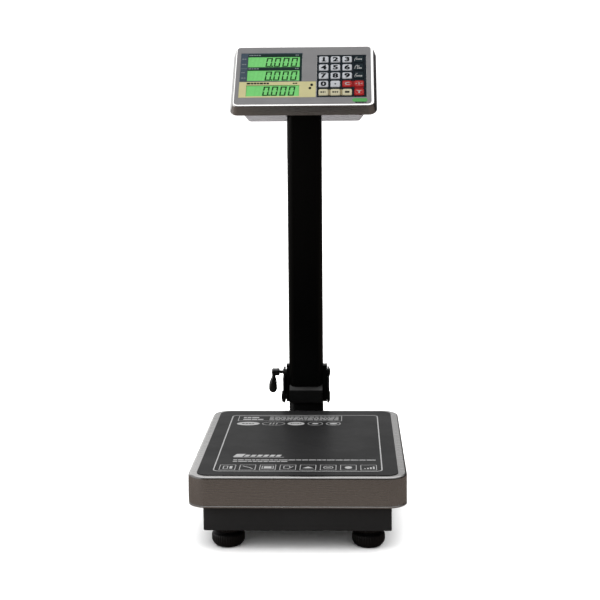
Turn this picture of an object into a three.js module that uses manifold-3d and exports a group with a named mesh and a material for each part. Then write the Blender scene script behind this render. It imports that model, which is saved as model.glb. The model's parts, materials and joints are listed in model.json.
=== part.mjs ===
// Counter price scale: weighing platform on a steel base, folding mast and a price head.
// Millimetres, +Z up, +X to the viewer's right, +Y away from the viewer.
// Heights are measured from the floor and depths from the tray's front edge; the last
// group moves the whole scale so that its origin is the centre of its footprint.
import * as THREE from "three";
import { mergeVertices } from "three/addons/utils/BufferGeometryUtils.js";
import Module from "manifold-3d";

const wasm = await Module();
wasm.setup();

// ---------------------------------------------------------------- driving dimensions
const GAP = 0.3;                 // air left between neighbouring pieces
const PLATFORM_Z = 109;          // top of the platform above the floor
const TRAY_W = 300;
const TRAY_D = 400;
const TRAY_H = 44.4;             // top of the sheet to the lower edge of the skirt
const TRAY_T = 1.5;
const TRAY_CORNER = 28;
const TRAY_EDGE = 3.5;
const SHEET_MARGIN = { side: 12, front: 8, rear: 12 };
const SHEET_T = 0.6;
const SHEET_CORNER = 17;
const BASE_W = 258;
const BASE_FRONT = 12.5;
const BASE_D = 375;
const BASE_BOTTOM = 29.5;
const BASE_TOP = 84.5;
const BASE_T = 2;
const FOOT_X = 97.5;
const FOOT_Y = [42, 358];
const FOOT_R = 23;
const FOOT_H = 20.9;
const STUD_R = 4;
const STUD_TOP = 42;
const COLLAR_R = 20;
const BEAM_TOP = 41.8;
const CELL = { w: 40, d: 150, h: 22, y: 200, z: 48 };
const FRAME_TOP = 98.3;
const RAIL = { x: 85, w: 30, h: 20, y0: 40, y1: 360 };
const BUMPER = { r: 12, h: 7.7, x: 85, y: [70, 330] };
const MAST_W = 56;
const MAST_D = 36;
const MAST_R = 10;
const MAST_T = 2;
const MAST_FRONT = 408;
const MAST_FOOT = PLATFORM_Z + 36.7;
const PIVOT = { y: 418, z: PLATFORM_Z + 18.5, bolt: 5 };
const SEAT_SLOPE = THREE.MathUtils.degToRad(28.8);
const SEAT_FRONT = PIVOT.y - 15.6;
const STUB_TOP = PLATFORM_Z + 9.6;
const CHEEK = { inner: 35, t: 3, y0: 410, y1: 449, z0: PLATFORM_Z + 7.6, z1: PLATFORM_Z + 63, web: PLATFORM_Z + 54 };
const EAR = { inner: 27.5, left: 32.2, right: 34.7, top: PLATFORM_Z + 71 };
const CLAMP = { y: 425, z: PLATFORM_Z + 58.3, r: 5, stud: 2.7 };
const HEAD_Y = 368;              // lower front edge of the sloping face
const HEAD_Z = PLATFORM_Z + 495;
const HEAD_TILT = THREE.MathUtils.degToRad(42.5);
const FACE_W = 224;
const FACE_L = 143;
const COVER_D = 15.5;
const COVER_FLARE = 4.5;
const COVER_T = 2.5;
const CASE = { w: 194, v0: 18.5, v1: 117, depth: 50, t: 2.5, chamfer: 8 };
const MAST_CUT = 24;             // depth of the mast's slanted top below the face
const LABEL = { u0: -103, u1: -3.4, u2: 19.4, v0: 20, v1: 126, strip: 57, t: 1.2 };
const WINDOW = { u0: -91.5, u1: -7, h: 25.8, v: [23, 59.2, 92] };
const PAD = { u0: 20.8, u1: 100.2, v0: 19.8, v1: 120.2, t: 1.2 };
const FILM = { low: 0.04, top: 0.3, left: 2.3, right: 4.2, bottom: 4.2, rear: 2.6 };
const KEY = { u: 31.6, v: 30.7, pu: 18.88, pv: 19.6, size: 15.2, flange: 17.4, rise: 1.1 };
const BATTERY = { u0: 32, u1: 82, v0: 24, v1: 112, w0: -46.6, w1: -23 };
const DOOR = { u0: 36, u1: 76, v0: 32, v1: 106, hinge: 33.7 };
const SWITCH = { u: -60, v: 84, w: 13, h: 19 };
const SOCKET = { u: -45, v: 100, r: 4.6, bore: 3.1 };

// ---------------------------------------------------------------- materials
const steel = (color, roughness) => ({ color, roughness, metalness: 1 });
const LOOK = {
  brushed: steel(0xb9b1a8, 0.32),
  zinc: steel(0x9c9d9f, 0.45),
  alloy: steel(0xc4c6c8, 0.4),
  sheet: { color: 0x2b2b2c, roughness: 0.25, metalness: 0 },
  base: { color: 0x262627, roughness: 0.55, metalness: 0.3 },
  black: { color: 0x0d0d0d, roughness: 0.5, metalness: 0.3 },
  plate: { color: 0x565656, roughness: 0.5, metalness: 0.4 },
  rubber: { color: 0x151515, roughness: 0.9, metalness: 0 },
  foot: { color: 0x101010, roughness: 0.6, metalness: 0 },
  cover: { color: 0x8b8a8c, roughness: 0.45, metalness: 0 },
  case: { color: 0xa9a9a9, roughness: 0.5, metalness: 0 },
  label: { color: 0x3c4a5c, roughness: 0.35, metalness: 0 },
  lcd: { color: 0x74cc78, roughness: 0.3, metalness: 0 },
  board: { color: 0x1f5a38, roughness: 0.6, metalness: 0 },
  ground: { color: 0x1f2a36, roughness: 0.4, metalness: 0 },
  battery: { color: 0x303236, roughness: 0.6, metalness: 0 },
  vial: { color: 0xb7cf4e, roughness: 0.2, metalness: 0 },
  keyGrey: { color: 0xd3d6da, roughness: 0.4, metalness: 0 },
  keyRed: { color: 0xbb1414, roughness: 0.4, metalness: 0 },
  keyBeige: { color: 0xdcd6ae, roughness: 0.4, metalness: 0 },
  keyDark: { color: 0x263442, roughness: 0.4, metalness: 0 },
};

// ---------------------------------------------------------------- solids and joins
function toSolid(geometry) {
  const bare = geometry.clone();
  bare.deleteAttribute("normal");
  bare.deleteAttribute("uv");
  const merged = mergeVertices(bare, 1e-4);
  return new wasm.Manifold(new wasm.Mesh({
    numProp: 3,
    vertProperties: new Float32Array(merged.attributes.position.array),
    triVerts: new Uint32Array(merged.index.array),
  }));
}

function toGeometry(solid) {
  const mesh = solid.getMesh();
  const geometry = new THREE.BufferGeometry();
  geometry.setAttribute("position", new THREE.BufferAttribute(mesh.vertProperties, 3));
  geometry.setIndex(new THREE.BufferAttribute(mesh.triVerts, 1));
  geometry.computeVertexNormals();
  return geometry;
}

const join = (first, ...rest) => rest.reduce((sum, part) => sum.add(part), first);
const cut = (first, ...rest) => rest.reduce((sum, part) => sum.subtract(part), first);

function box(x0, x1, y0, y1, z0, z1) {
  const geometry = new THREE.BoxGeometry(x1 - x0, y1 - y0, z1 - z0);
  geometry.translate((x0 + x1) / 2, (y0 + y1) / 2, (z0 + z1) / 2);
  return toSolid(geometry);
}

function rodX(y, z, r, x0, x1, sides = 24) {
  const geometry = new THREE.CylinderGeometry(r, r, x1 - x0, sides);
  geometry.rotateZ(Math.PI / 2);
  geometry.translate((x0 + x1) / 2, y, z);
  return toSolid(geometry);
}

function rodZ(x, y, r, z0, z1, sides = 24) {
  const geometry = new THREE.CylinderGeometry(r, r, z1 - z0, sides);
  geometry.rotateX(Math.PI / 2);
  geometry.translate(x, y, (z0 + z1) / 2);
  return toSolid(geometry);
}

// A closed turned solid about a vertical axis; the profile starts and ends on the axis.
function turned(x, y, profile, sides = 32) {
  const points = profile.map(([r, z]) => new THREE.Vector2(r, z));
  const geometry = new THREE.LatheGeometry(points, sides);
  geometry.rotateX(Math.PI / 2);
  geometry.translate(x, y, 0);
  return toSolid(geometry);
}

// Outline of a rectangle with rounded corners, as points in order.
function roundRect(x0, x1, y0, y1, r, steps = 6) {
  const points = [];
  const centres = [[x1 - r, y1 - r, 0], [x0 + r, y1 - r, 1], [x0 + r, y0 + r, 2], [x1 - r, y0 + r, 3]];
  for (const [cx, cy, quarter] of centres) {
    for (let i = 0; i <= steps; i++) {
      const a = (quarter + i / steps) * Math.PI / 2;
      points.push([cx + r * Math.cos(a), cy + r * Math.sin(a)]);
    }
  }
  return points;
}

// A closed solid that passes through outlines with equal numbers of points.
function loft(sections) {
  const count = sections[0].outline.length;
  const position = [];
  const index = [];
  for (const { outline, z } of sections) {
    for (const [x, y] of outline) {
      position.push(x, y, z);
    }
  }
  for (let s = 0; s + 1 < sections.length; s++) {
    for (let i = 0; i < count; i++) {
      const a = s * count + i;
      const b = s * count + (i + 1) % count;
      index.push(a, b, b + count, a, b + count, a + count);
    }
  }
  const top = (sections.length - 1) * count;
  const flat = sections[0].outline.map(([x, y]) => new THREE.Vector2(x, y));
  for (const [a, b, c] of THREE.ShapeUtils.triangulateShape(flat, [])) {
    index.push(a, c, b, top + a, top + b, top + c);
  }
  const geometry = new THREE.BufferGeometry();
  geometry.setAttribute("position", new THREE.BufferAttribute(new Float32Array(position), 3));
  geometry.setIndex(index);
  return toSolid(geometry);
}

const prism = (outline, z0, z1) => loft([{ outline, z: z0 }, { outline, z: z1 }]);

// A flat plate whose outline lies in the YZ plane, between two values of X.
function plateX(outline, x0, x1) {
  const shape = new THREE.Shape(outline.map(([y, z]) => new THREE.Vector2(y, z)));
  const geometry = new THREE.ExtrudeGeometry(shape, { depth: x1 - x0, bevelEnabled: false });
  geometry.applyMatrix4(new THREE.Matrix4().set(0, 0, 1, x0, 1, 0, 0, 0, 0, 1, 0, 0, 0, 0, 0, 1));
  return toSolid(geometry);
}

function wire(points, r, sides = 8) {
  const path = new THREE.CatmullRomCurve3(points.map((p) => new THREE.Vector3(...p)), false, "catmullrom", 0.2);
  const ring = [];
  for (let i = 0; i < sides; i++) {
    const a = (i / sides) * 2 * Math.PI;
    ring.push(new THREE.Vector2(r * Math.cos(a), r * Math.sin(a)));
  }
  const steps = Math.min(60, Math.round(path.getLength() / (6 * r)));
  return new THREE.ExtrudeGeometry(new THREE.Shape(ring), { steps, extrudePath: path, bevelEnabled: false });
}

function mesh(name, geometry, look) {
  const solid = geometry.isBufferGeometry ? geometry : toGeometry(geometry);
  const made = new THREE.Mesh(solid, new THREE.MeshStandardMaterial(look));
  made.name = name;
  return made;
}

// ---------------------------------------------------------------- platform
// A pressed pan: rounded upper edge, rounded corners, open underneath.
function panSolid(inset, top) {
  const edge = TRAY_EDGE;
  const ring = (e) => roundRect(-TRAY_W / 2 + e, TRAY_W / 2 - e, e, TRAY_D - e, TRAY_CORNER - e);
  const sections = [{ outline: ring(inset), z: PLATFORM_Z - TRAY_H - (inset ? 1 : 0) }];
  for (let i = 0; i <= 4; i++) {
    const a = (i / 4) * Math.PI / 2;
    const e = inset + edge * (1 - Math.cos(a));
    sections.push({ outline: ring(e), z: top - edge * (1 - Math.sin(a)) });
  }
  return loft(sections);
}

function tray() {
  const top = PLATFORM_Z - SHEET_T - GAP;
  return mesh("tray", cut(panSolid(0, top), panSolid(TRAY_T, top - TRAY_T)), LOOK.brushed);
}

function platformSheet() {
  const { side, front, rear } = SHEET_MARGIN;
  const outline = roundRect(-TRAY_W / 2 + side, TRAY_W / 2 - side, front, TRAY_D - rear, SHEET_CORNER);
  return mesh("platform_sheet", prism(outline, PLATFORM_Z - SHEET_T, PLATFORM_Z), LOOK.sheet);
}

// Two rails and two crossbars; the front crossbar's pad stands on the load cell's free end.
function loadFrame() {
  const { x, w, h, y0, y1 } = RAIL;
  const z0 = FRAME_TOP - h;
  const parts = [-1, 1].map((s) => cut(
    box(s * x - w / 2, s * x + w / 2, y0, y1, z0, FRAME_TOP),
    box(s * x - w / 2 + 2, s * x + w / 2 - 2, y0 - 1, y1 + 1, z0 + 2, FRAME_TOP - 2),
  ));
  const bars = [[125, 165], [235, 275]].map(([a, b]) => box(-x + w / 2 - 1, x - w / 2 + 1, a, b, z0, z0 + 6));
  const pad = box(-22, 22, 127, 163, CELL.z + CELL.h + GAP, z0 + 1);
  return mesh("load_frame", join(...parts, ...bars, pad), LOOK.plate);
}

function bumpers() {
  const made = [];
  for (const y of BUMPER.y) {
    for (const s of [-1, 1]) {
      const z = FRAME_TOP + GAP;
      const r = BUMPER.r;
      const profile = [[0, z], [r, z], [r, z + BUMPER.h - 1.5], [r - 2, z + BUMPER.h], [0, z + BUMPER.h]];
      made.push(mesh(`bumper_${made.length + 1}`, turned(s * BUMPER.x, y, profile, 20), LOOK.rubber));
    }
  }
  return made;
}

// An aluminium bar thinned by two cross holes joined by a slot, so that it bends there.
function loadCell() {
  const { w, d, h, y, z } = CELL;
  const bar = box(-w / 2, w / 2, y - d / 2, y + d / 2, z, z + h);
  const holes = [-16, 16].map((o) => rodX(y + o, z + h / 2, 8.5, -w, w));
  const slot = box(-w, w, y - 16, y + 16, z + h / 2 - 2.5, z + h / 2 + 2.5);
  return mesh("load_cell", cut(bar, ...holes, slot), LOOK.alloy);
}

// ---------------------------------------------------------------- base
function footPlaces() {
  return FOOT_Y.flatMap((y) => [-1, 1].map((s) => [s * FOOT_X, y]));
}

// Folded steel tub with welded nuts for the feet and stop posts under the load frame.
function baseFrame() {
  const hw = BASE_W / 2;
  const y0 = BASE_FRONT;
  const y1 = BASE_FRONT + BASE_D;
  const t = BASE_T;
  let tub = cut(
    prism(roundRect(-hw, hw, y0, y1, 3, 3), BASE_BOTTOM, BASE_TOP),
    box(-hw + t, hw - t, y0 + t, y1 - t, BASE_BOTTOM + t, BASE_TOP + 1),
  );
  for (const [x, y] of footPlaces()) {
    tub = tub.add(rodZ(x, y, 9, BASE_BOTTOM + 1, STUD_TOP + 1, 6));
    tub = tub.subtract(rodZ(x, y, STUD_R + 0.35, BASE_BOTTOM - 1, STUD_TOP + 2));
  }
  for (const y of [56, 344]) {
    for (const s of [-1, 1]) {
      tub = tub.add(rodZ(s * 76, y, 5, BASE_BOTTOM + 1, FRAME_TOP - RAIL.h - 1, 12));
    }
  }
  const cableHole = box(-8, 8, y1 - 5, y1 + 5, 40, 52);
  return mesh("base_frame", cut(tub, cableHole), LOOK.base);
}

// A cross member on the tub's floor whose raised pad carries the load cell's fixed end.
function baseCrossbeam() {
  const hw = BASE_W / 2 - BASE_T - GAP;
  const z0 = BASE_BOTTOM + BASE_T + GAP;
  const beam = cut(
    box(-hw, hw, 232, 278, z0, BEAM_TOP),
    box(-hw - 1, hw + 1, 235, 275, z0 - 1, BEAM_TOP - 3),
  );
  return mesh("base_crossbeam", join(beam, box(-24, 24, 237, 273, BEAM_TOP - 1, CELL.z - GAP)), LOOK.plate);
}

function bubbleLevel() {
  const z = BASE_BOTTOM + BASE_T + GAP;
  const profile = [[0, z], [13, z], [13, z + 3], [10, z + 3], [10, z + 8.5], [8, z + 10], [0, z + 10]];
  return mesh("bubble_level", turned(-60, 352, profile, 24), LOOK.vial);
}

// A round pad moulded on a steel stud that screws up into the tub's nut.
function foot(index, x, y) {
  const r = FOOT_R;
  const profile = [[0, 0], [r - 7, 0], [r - 3.5, 1.6], [r - 1, 5], [r, 9], [r, 16.5],
    [r - 1.5, FOOT_H], [STUD_R, FOOT_H], [STUD_R, STUD_TOP - 1], [STUD_R - 1, STUD_TOP], [0, STUD_TOP]];
  return mesh(`foot_${index}`, turned(x, y, profile), LOOK.foot);
}

function lockNut(index, x, y) {
  const z0 = FOOT_H + GAP;
  const z1 = BASE_BOTTOM - GAP;
  const outline = [];
  for (let i = 0; i < 48; i++) {
    const a = (i / 48) * 2 * Math.PI;
    const r = COLLAR_R - (i % 4 === 0 ? 1 : 0);
    outline.push([x + r * Math.cos(a), y + r * Math.sin(a)]);
  }
  const collar = cut(prism(outline, z0, z1), rodZ(x, y, STUD_R + 0.35, z0 - 1, z1 + 1));
  return mesh(`foot_locknut_${index}`, collar, LOOK.foot);
}

// ---------------------------------------------------------------- mast and hinge
function tubeOutline(inset = 0) {
  const hw = MAST_W / 2 - inset;
  return roundRect(-hw, hw, MAST_FRONT + inset, MAST_FRONT + MAST_D - inset, MAST_R - inset, 5);
}

// Short tube standing behind the tub, with an arm and a plate bolted to the tub's rear wall.
function mastStub() {
  const rear = BASE_FRONT + BASE_D + GAP;
  const solid = join(
    prism(tubeOutline(), BASE_BOTTOM, STUB_TOP),
    box(-50, 50, rear, rear + 4, BASE_BOTTOM, 60),
    box(-22, 22, rear + 1, MAST_FRONT + 4, BASE_BOTTOM, 60),
  );
  const bore = prism(tubeOutline(MAST_T), BASE_BOTTOM - 1, STUB_TOP + 1);
  const way = box(-18, 18, rear - 1, MAST_FRONT + 6, BASE_BOTTOM + 3, 57);
  return mesh("mast_stub", cut(solid, bore, way), LOOK.black);
}

// Front edge of a cheek: rounded below about the pivot and rounded at the upper corner.
function cheekOutline() {
  const { y0, y1, z0, z1 } = CHEEK;
  const points = [[y1, z0], [y1, z1]];
  for (let i = 0; i <= 5; i++) {
    const a = (1 + i / 5) * Math.PI / 2;
    points.push([y0 + 8 + 8 * Math.cos(a), z1 - 8 + 8 * Math.sin(a)]);
  }
  for (let i = 0; i <= 8; i++) {
    const a = Math.PI + (i / 8) * Math.PI / 2;
    points.push([y0 + 9 + 9 * Math.cos(a), z0 + 9 + 9 * Math.sin(a)]);
  }
  return points;
}

// Height of the slanted seat that the mast's cut end stands on, at some depth.
function seatHeight(y, gap = 0.35) {
  return MAST_FOOT + (y - MAST_FRONT) * Math.tan(SEAT_SLOPE) - gap / Math.cos(SEAT_SLOPE);
}

// Weldment: slanted hinge block, rear web and two cheeks slotted for the clamp bolt.
function hingeBracket() {
  const { inner, t, y1, z0, z1 } = CHEEK;
  const hw = MAST_W / 2 - 0.9;
  const low = STUB_TOP + GAP;
  const block = plateX([
    [SEAT_FRONT + 1.5, low], [SEAT_FRONT, low + 1.5], [SEAT_FRONT, PIVOT.z + 13.1], [MAST_FRONT, seatHeight(MAST_FRONT)],
    [y1 - 1, seatHeight(y1 - 1)], [y1 - 1, low],
  ], -hw, hw);
  const web = prism(roundRect(-inner - t, inner + t, y1 - t, y1, 0.4, 2), z0, CHEEK.web);
  const cheeks = [-inner - t, inner].map((x) => plateX(cheekOutline(), x, x + t));
  const slot = join(
    rodX(CLAMP.y, CLAMP.z, CLAMP.r + 0.8, -60, 60),
    box(-60, 60, CHEEK.y0 - 5, CLAMP.y, CLAMP.z - CLAMP.r - 0.8, CLAMP.z + CLAMP.r + 0.8),
  );
  const bore = rodX(PIVOT.y, PIVOT.z, PIVOT.bolt + 0.3, -60, 60);
  const cable = rodZ(0, 437, 5, STUB_TOP - 5, seatHeight(y1) + 5, 16);
  const bare = join(web, ...cheeks);
  return mesh("hinge_bracket", cut(join(cut(bare, slot), block), bore, cable), LOOK.black);
}

function hexX(y, z, r, x0, x1) {
  return rodX(y, z, r, x0, x1, 6);
}

function pivotBolt() {
  const out = CHEEK.inner + CHEEK.t + GAP;
  const bolt = join(rodX(PIVOT.y, PIVOT.z, PIVOT.bolt, -out - 2.6, out + 1), hexX(PIVOT.y, PIVOT.z, 8.5, out, out + 1.3));
  return mesh("pivot_bolt", bolt, LOOK.black);
}

function pivotNut() {
  const out = CHEEK.inner + CHEEK.t + GAP;
  const nut = cut(hexX(PIVOT.y, PIVOT.z, 9.5, -out - 1.9, -out), rodX(PIVOT.y, PIVOT.z, PIVOT.bolt + GAP, -60, 0));
  return mesh("pivot_nut", nut, LOOK.black);
}

// Ear welded on the mast's side: round at the pivot, straight up beside the tube.
function earOutline() {
  const r = 8.6;
  const points = [];
  for (let i = 0; i <= 12; i++) {
    const a = Math.PI + (i / 12) * Math.PI;
    points.push([PIVOT.y + r * Math.cos(a), PIVOT.z + r * Math.sin(a)]);
  }
  points.push([MAST_FRONT + MAST_D - 10, MAST_FOOT], [MAST_FRONT + MAST_D - 10, EAR.top]);
  points.push([MAST_FRONT + 8, EAR.top], [MAST_FRONT + 6, MAST_FOOT]);
  return points;
}

// Points of the sloping head: u across, v up the slope, depth behind the face.
function headPoint(u, v, depth) {
  const c = Math.cos(HEAD_TILT);
  const s = Math.sin(HEAD_TILT);
  return [u, HEAD_Y + v * c + depth * s, HEAD_Z + v * s - depth * c];
}

// A solid made in the head's own axes and turned into the scale's.
function inHead(geometry) {
  geometry.rotateX(HEAD_TILT);
  geometry.translate(0, HEAD_Y, HEAD_Z);
  return toSolid(geometry);
}

function headBox(u0, u1, v0, v1, w0, w1) {
  const geometry = new THREE.BoxGeometry(u1 - u0, v1 - v0, w1 - w0);
  geometry.translate((u0 + u1) / 2, (v0 + v1) / 2, (w0 + w1) / 2);
  return inHead(geometry);
}

// Tube with welded ears below and a slanted plate above, parallel to the head's face.
function mast() {
  const top = HEAD_Z + 90;
  const above = headBox(-200, 200, -100, 300, -MAST_CUT, 300);
  const plate = headBox(-30, 30, 30, 84, -MAST_CUT, -MAST_CUT + 2);
  const below = plateX([
    [MAST_FRONT - 20, seatHeight(MAST_FRONT - 20, 0)], [MAST_FRONT - 20, 60],
    [MAST_FRONT + 60, 60], [MAST_FRONT + 60, seatHeight(MAST_FRONT + 60, 0)],
  ], -80, 80);
  const outer = cut(prism(tubeOutline(), MAST_FOOT - 10, top), above, below);
  const bore = prism(tubeOutline(MAST_T), MAST_FOOT - 12, top);
  const wall = MAST_W / 2 - 1;
  const ears = [plateX(earOutline(), -EAR.left, -EAR.inner), plateX(earOutline(), EAR.inner, EAR.right)];
  const hollow = join(outer, ...ears).subtract(bore);
  const holes = [
    rodX(CLAMP.y, CLAMP.z, CLAMP.r + GAP, -wall - 20, wall + 20),
    rodX(PIVOT.y, PIVOT.z, PIVOT.bolt + GAP, -wall - 20, wall + 20),
  ];
  const way = headBox(-14, 14, 44, 66, -MAST_CUT - 2, -MAST_CUT + 4);
  return mesh("mast", cut(join(hollow, plate), ...holes, way), LOOK.black);
}

function clampBolt() {
  const out = CHEEK.inner + CHEEK.t + GAP;
  const dome = [[0, out], [7.5, out], [7.5, out + 0.6], [5.5, out + 0.8], [4.8, out + 1.5], [2.6, out + 1.9], [0, out + 2]];
  const head = new THREE.LatheGeometry(dome.map(([r, x]) => new THREE.Vector2(r, x)), 24);
  head.rotateZ(-Math.PI / 2);
  head.translate(0, CLAMP.y, CLAMP.z);
  return mesh("clamp_bolt", join(rodX(CLAMP.y, CLAMP.z, CLAMP.r, -out, out + 0.5), rodX(CLAMP.y, CLAMP.z, CLAMP.stud, -52, 0), toSolid(head)), LOOK.black);
}

// Cast lever: a hub on the stud and a flat teardrop handle that hangs beside it.
function clampLever() {
  const { y, z } = CLAMP;
  const hub = rodX(y, z, 6.6, -56.5, -44.3, 20);
  const bore = rodX(y, z, CLAMP.stud + GAP, -52.3, -40, 24);
  const handle = [[3, 0.4], [2.8, 7], [4.6, 12], [5.6, 20], [5.4, 28], [4, 32.4], [2, 34.4]];
  const outline = [...handle.map(([h, d]) => [y - h, z - d]), ...handle.map(([h, d]) => [y + h, z - d]).reverse()];
  const neck = plateX(outline, -56, -51.5);
  const swell = new THREE.SphereGeometry(1, 16, 10);
  swell.scale(6.4, 5.6, 12);
  swell.translate(-55.8, y, z - 23);
  return mesh("clamp_lever", cut(join(hub, neck, toSolid(swell)), bore), LOOK.black);
}

// ---------------------------------------------------------------- head
function faceOutline(grow, r) {
  return roundRect(-FACE_W / 2 - grow, FACE_W / 2 + grow, -grow, FACE_L + grow, r, 5);
}

// Shallow cover: flaring walls, rounded rim, recesses for the label and the key panel.
function headCover() {
  const depth = -COVER_D;
  const outer = loft([
    { outline: faceOutline(COVER_FLARE, 13), z: depth },
    { outline: faceOutline(0.3, 9.4), z: -2.2 },
    { outline: faceOutline(-0.6, 8.6), z: -0.7 },
    { outline: faceOutline(-2.1, 7.4), z: 0 },
  ]);
  const inner = loft([
    { outline: faceOutline(COVER_FLARE - COVER_T + 0.3, 10.8), z: depth - 1 },
    { outline: faceOutline(-COVER_T, 7), z: -COVER_T },
  ]);
  const label = labelSolid(GAP, -LABEL.t - GAP, 2);
  const windows = box(-94.5, -5, 21.5, 120, -6, 1);
  const pad = box(PAD.u0 - GAP, PAD.u1 + GAP, PAD.v0 - GAP, PAD.v1 + GAP, -PAD.t - GAP, 2);
  const keys = box(PAD.u0 + 1, PAD.u1 - 1, PAD.v0 + 1, PAD.v1 - 1, -6, 1);
  return mesh("head_cover", cut(outer, inner, label, windows, pad, keys), LOOK.brushed);
}

// The label: a tall field with a wider strip along its lower part.
function labelSolid(grow, w0, w1) {
  const { u0, u1, u2, v0, v1, strip } = LABEL;
  return join(
    box(u0 - grow, u1 + grow, v0 - grow, v1 + grow, w0, w1),
    box(u0 - grow, u2 + grow, v0 - grow, strip + grow, w0, w1),
  );
}

// Thin grey overlay on the steel face, open at the label and at the key panel.
function faceFilm() {
  const { left, right, bottom, rear } = FILM;
  const outline = roundRect(-FACE_W / 2 + left, FACE_W / 2 - right, bottom, FACE_L - rear, 6, 5);
  const film = prism(outline, FILM.low, FILM.top);
  const pad = box(PAD.u0 - GAP, PAD.u1 + GAP, PAD.v0 - GAP, PAD.v1 + GAP, -2, 2);
  return mesh("face_film", cut(film, labelSolid(GAP, -2, 2), pad), LOOK.cover);
}

function displayPanel() {
  const { u0, u1, h, v } = WINDOW;
  const windows = v.map((low) => box(u0, u1, low, low + h, -5, 5));
  return mesh("display_panel", cut(labelSolid(0, -LABEL.t, FILM.top), ...windows), LOOK.label);
}

// Three display glasses standing on one carrier board.
function lcdModule() {
  const { u0, u1, h, v } = WINDOW;
  const glasses = v.map((low) => box(u0 + GAP, u1 - GAP, low + GAP, low + h - GAP, -6, -0.5));
  return mesh("lcd_module", join(box(-93, -3, 22.5, 119, -8, -4), ...glasses), LOOK.lcd);
}

function keypadFrame() {
  let plate = box(PAD.u0, PAD.u1, PAD.v0, PAD.v1, -PAD.t, FILM.top);
  for (const { u, v } of keyPlaces()) {
    const h = KEY.size / 2 + 0.35;
    plate = plate.subtract(box(u - h, u + h, v - h, v + h, -5, 5));
  }
  return mesh("keypad_frame", plate, LOOK.ground);
}

function keyPlaces() {
  const places = [];
  for (let row = 0; row < 5; row++) {
    for (let column = 0; column < 4; column++) {
      places.push({ row, column, u: KEY.u + column * KEY.pu, v: KEY.v + (4 - row) * KEY.pv });
    }
  }
  return places;
}

// A square cap with a chamfered top and a flange that keeps it behind the panel.
function keyCap({ row, column, u, v }) {
  const h = KEY.size / 2;
  const ring = (e) => roundRect(u - h + e, u + h - e, v - h + e, v + h - e, 2, 2);
  const cap = loft([
    { outline: ring(0), z: -3.2 },
    { outline: ring(0), z: KEY.rise - 0.5 },
    { outline: ring(0.9), z: KEY.rise },
  ]);
  const f = KEY.flange / 2;
  const flange = box(u - f, u + f, v - f, v + f, -3.4, -2.3);
  const names = [
    ["1", "2", "3", "print"], ["4", "5", "6", "mode"], ["7", "8", "9", "price"],
    ["0", "point", "clear", "zero"], ["memory", "recall", "add", "tare"],
  ];
  const red = (row === 3 && column >= 2) || (row === 4 && column === 3);
  const grey = row < 4 && column < 3 && !red;
  const look = red ? LOOK.keyRed : grey ? LOOK.keyGrey : row === 4 ? LOOK.keyBeige : LOOK.keyDark;
  return mesh(`key_${names[row][column]}`, join(cap, flange), look);
}

function keypadBoard() {
  return mesh("keypad_board", box(PAD.u0 - 2, PAD.u1 + 2, PAD.v0 - 2, PAD.v1 + 2, -6.1, -4.5), LOOK.board);
}

function mainBoard() {
  const board = box(-92, 60, 24, 114, -12.2, -10.6);
  const parts = [
    box(-80, -55, 84, 102, -11.1, -8.6), box(-30, -15, 70, 85, -11.1, -9), box(10, 30, 60, 84, -11.1, -8.1),
  ];
  return mesh("main_board", join(board, ...parts), LOOK.board);
}

function caseOutline(grow, chamfer) {
  const hw = CASE.w / 2 + grow - chamfer;
  return roundRect(-hw, hw, CASE.v0 - grow, CASE.v1 + grow, 6, 4);
}

// The mast's tube, grown by the running gap, in the head's own axes.
function mastClearance() {
  const path = prism(tubeOutline(-0.4), HEAD_Z - 120, HEAD_Z + 120);
  const back = new THREE.Matrix4().makeTranslation(0, HEAD_Y, HEAD_Z)
    .multiply(new THREE.Matrix4().makeRotationX(HEAD_TILT)).invert();
  const geometry = toGeometry(path);
  geometry.applyMatrix4(back);
  return toSolid(geometry).intersect(box(-60, 60, -200, 200, -CASE.depth - 60, -COVER_D - 3));
}

// Back plate set in the cover's open back, with a deep tub below it; the mast's tube enters through its floor.
function lowerCase() {
  const { t, depth, chamfer } = CASE;
  const top = -COVER_D + t;
  const plate = prism(faceOutline(0.7, 9.5), -COVER_D, top);
  const tub = loft([
    { outline: caseOutline(0, chamfer), z: -depth },
    { outline: caseOutline(0, 0), z: -depth + 17 },
    { outline: caseOutline(0, 0), z: top - 1 },
  ]);
  const hollow = loft([
    { outline: caseOutline(-t, chamfer), z: -depth + t },
    { outline: caseOutline(-t, 0), z: -depth + 17 + t },
    { outline: caseOutline(-t, 0), z: top + 1 },
  ]);
  const door = box(DOOR.u0, DOOR.u1, DOOR.v0, DOOR.v1, -depth - 5, -depth + 5);
  const { u, v, w, h } = SWITCH;
  const rocker = box(u - w / 2, u + w / 2, v - h / 2, v + h / 2, -depth - 5, -depth + 5);
  const jack = rodZ(SOCKET.u, SOCKET.v, SOCKET.r + GAP, -depth - 5, -depth + 5);
  return mesh("lower_case", cut(join(plate, tub), hollow, mastClearance(), door, rocker, jack), LOOK.case);
}

function battery() {
  const { u0, u1, v0, v1, w0, w1 } = BATTERY;
  return mesh("battery", prism(roundRect(u0, u1, v0, v1, 2, 2), w0, w1), LOOK.battery);
}

// Flush lid over the battery: its lower edge is rounded about its hinge line, and a finger
// dimple is moulded at its free edge.
function batteryDoor() {
  const { depth, t } = CASE;
  const side = [[DOOR.v1 - 0.4, -depth], [DOOR.v1 - 0.4, -depth + t]];
  for (let i = 0; i <= 8; i++) {
    const a = Math.PI * (0.5 + i / 8);
    side.push([DOOR.hinge + (t / 2) * Math.cos(a), -depth + t / 2 + (t / 2) * Math.sin(a)]);
  }
  const lid = plateX(side, DOOR.u0 + 0.4, DOOR.u1 - 0.4);
  const dimple = box(50, 62, DOOR.v1 - 8, DOOR.v1 - 4, -depth - 1, -depth + 0.9);
  return mesh("battery_door", cut(lid, dimple), LOOK.case);
}

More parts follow.
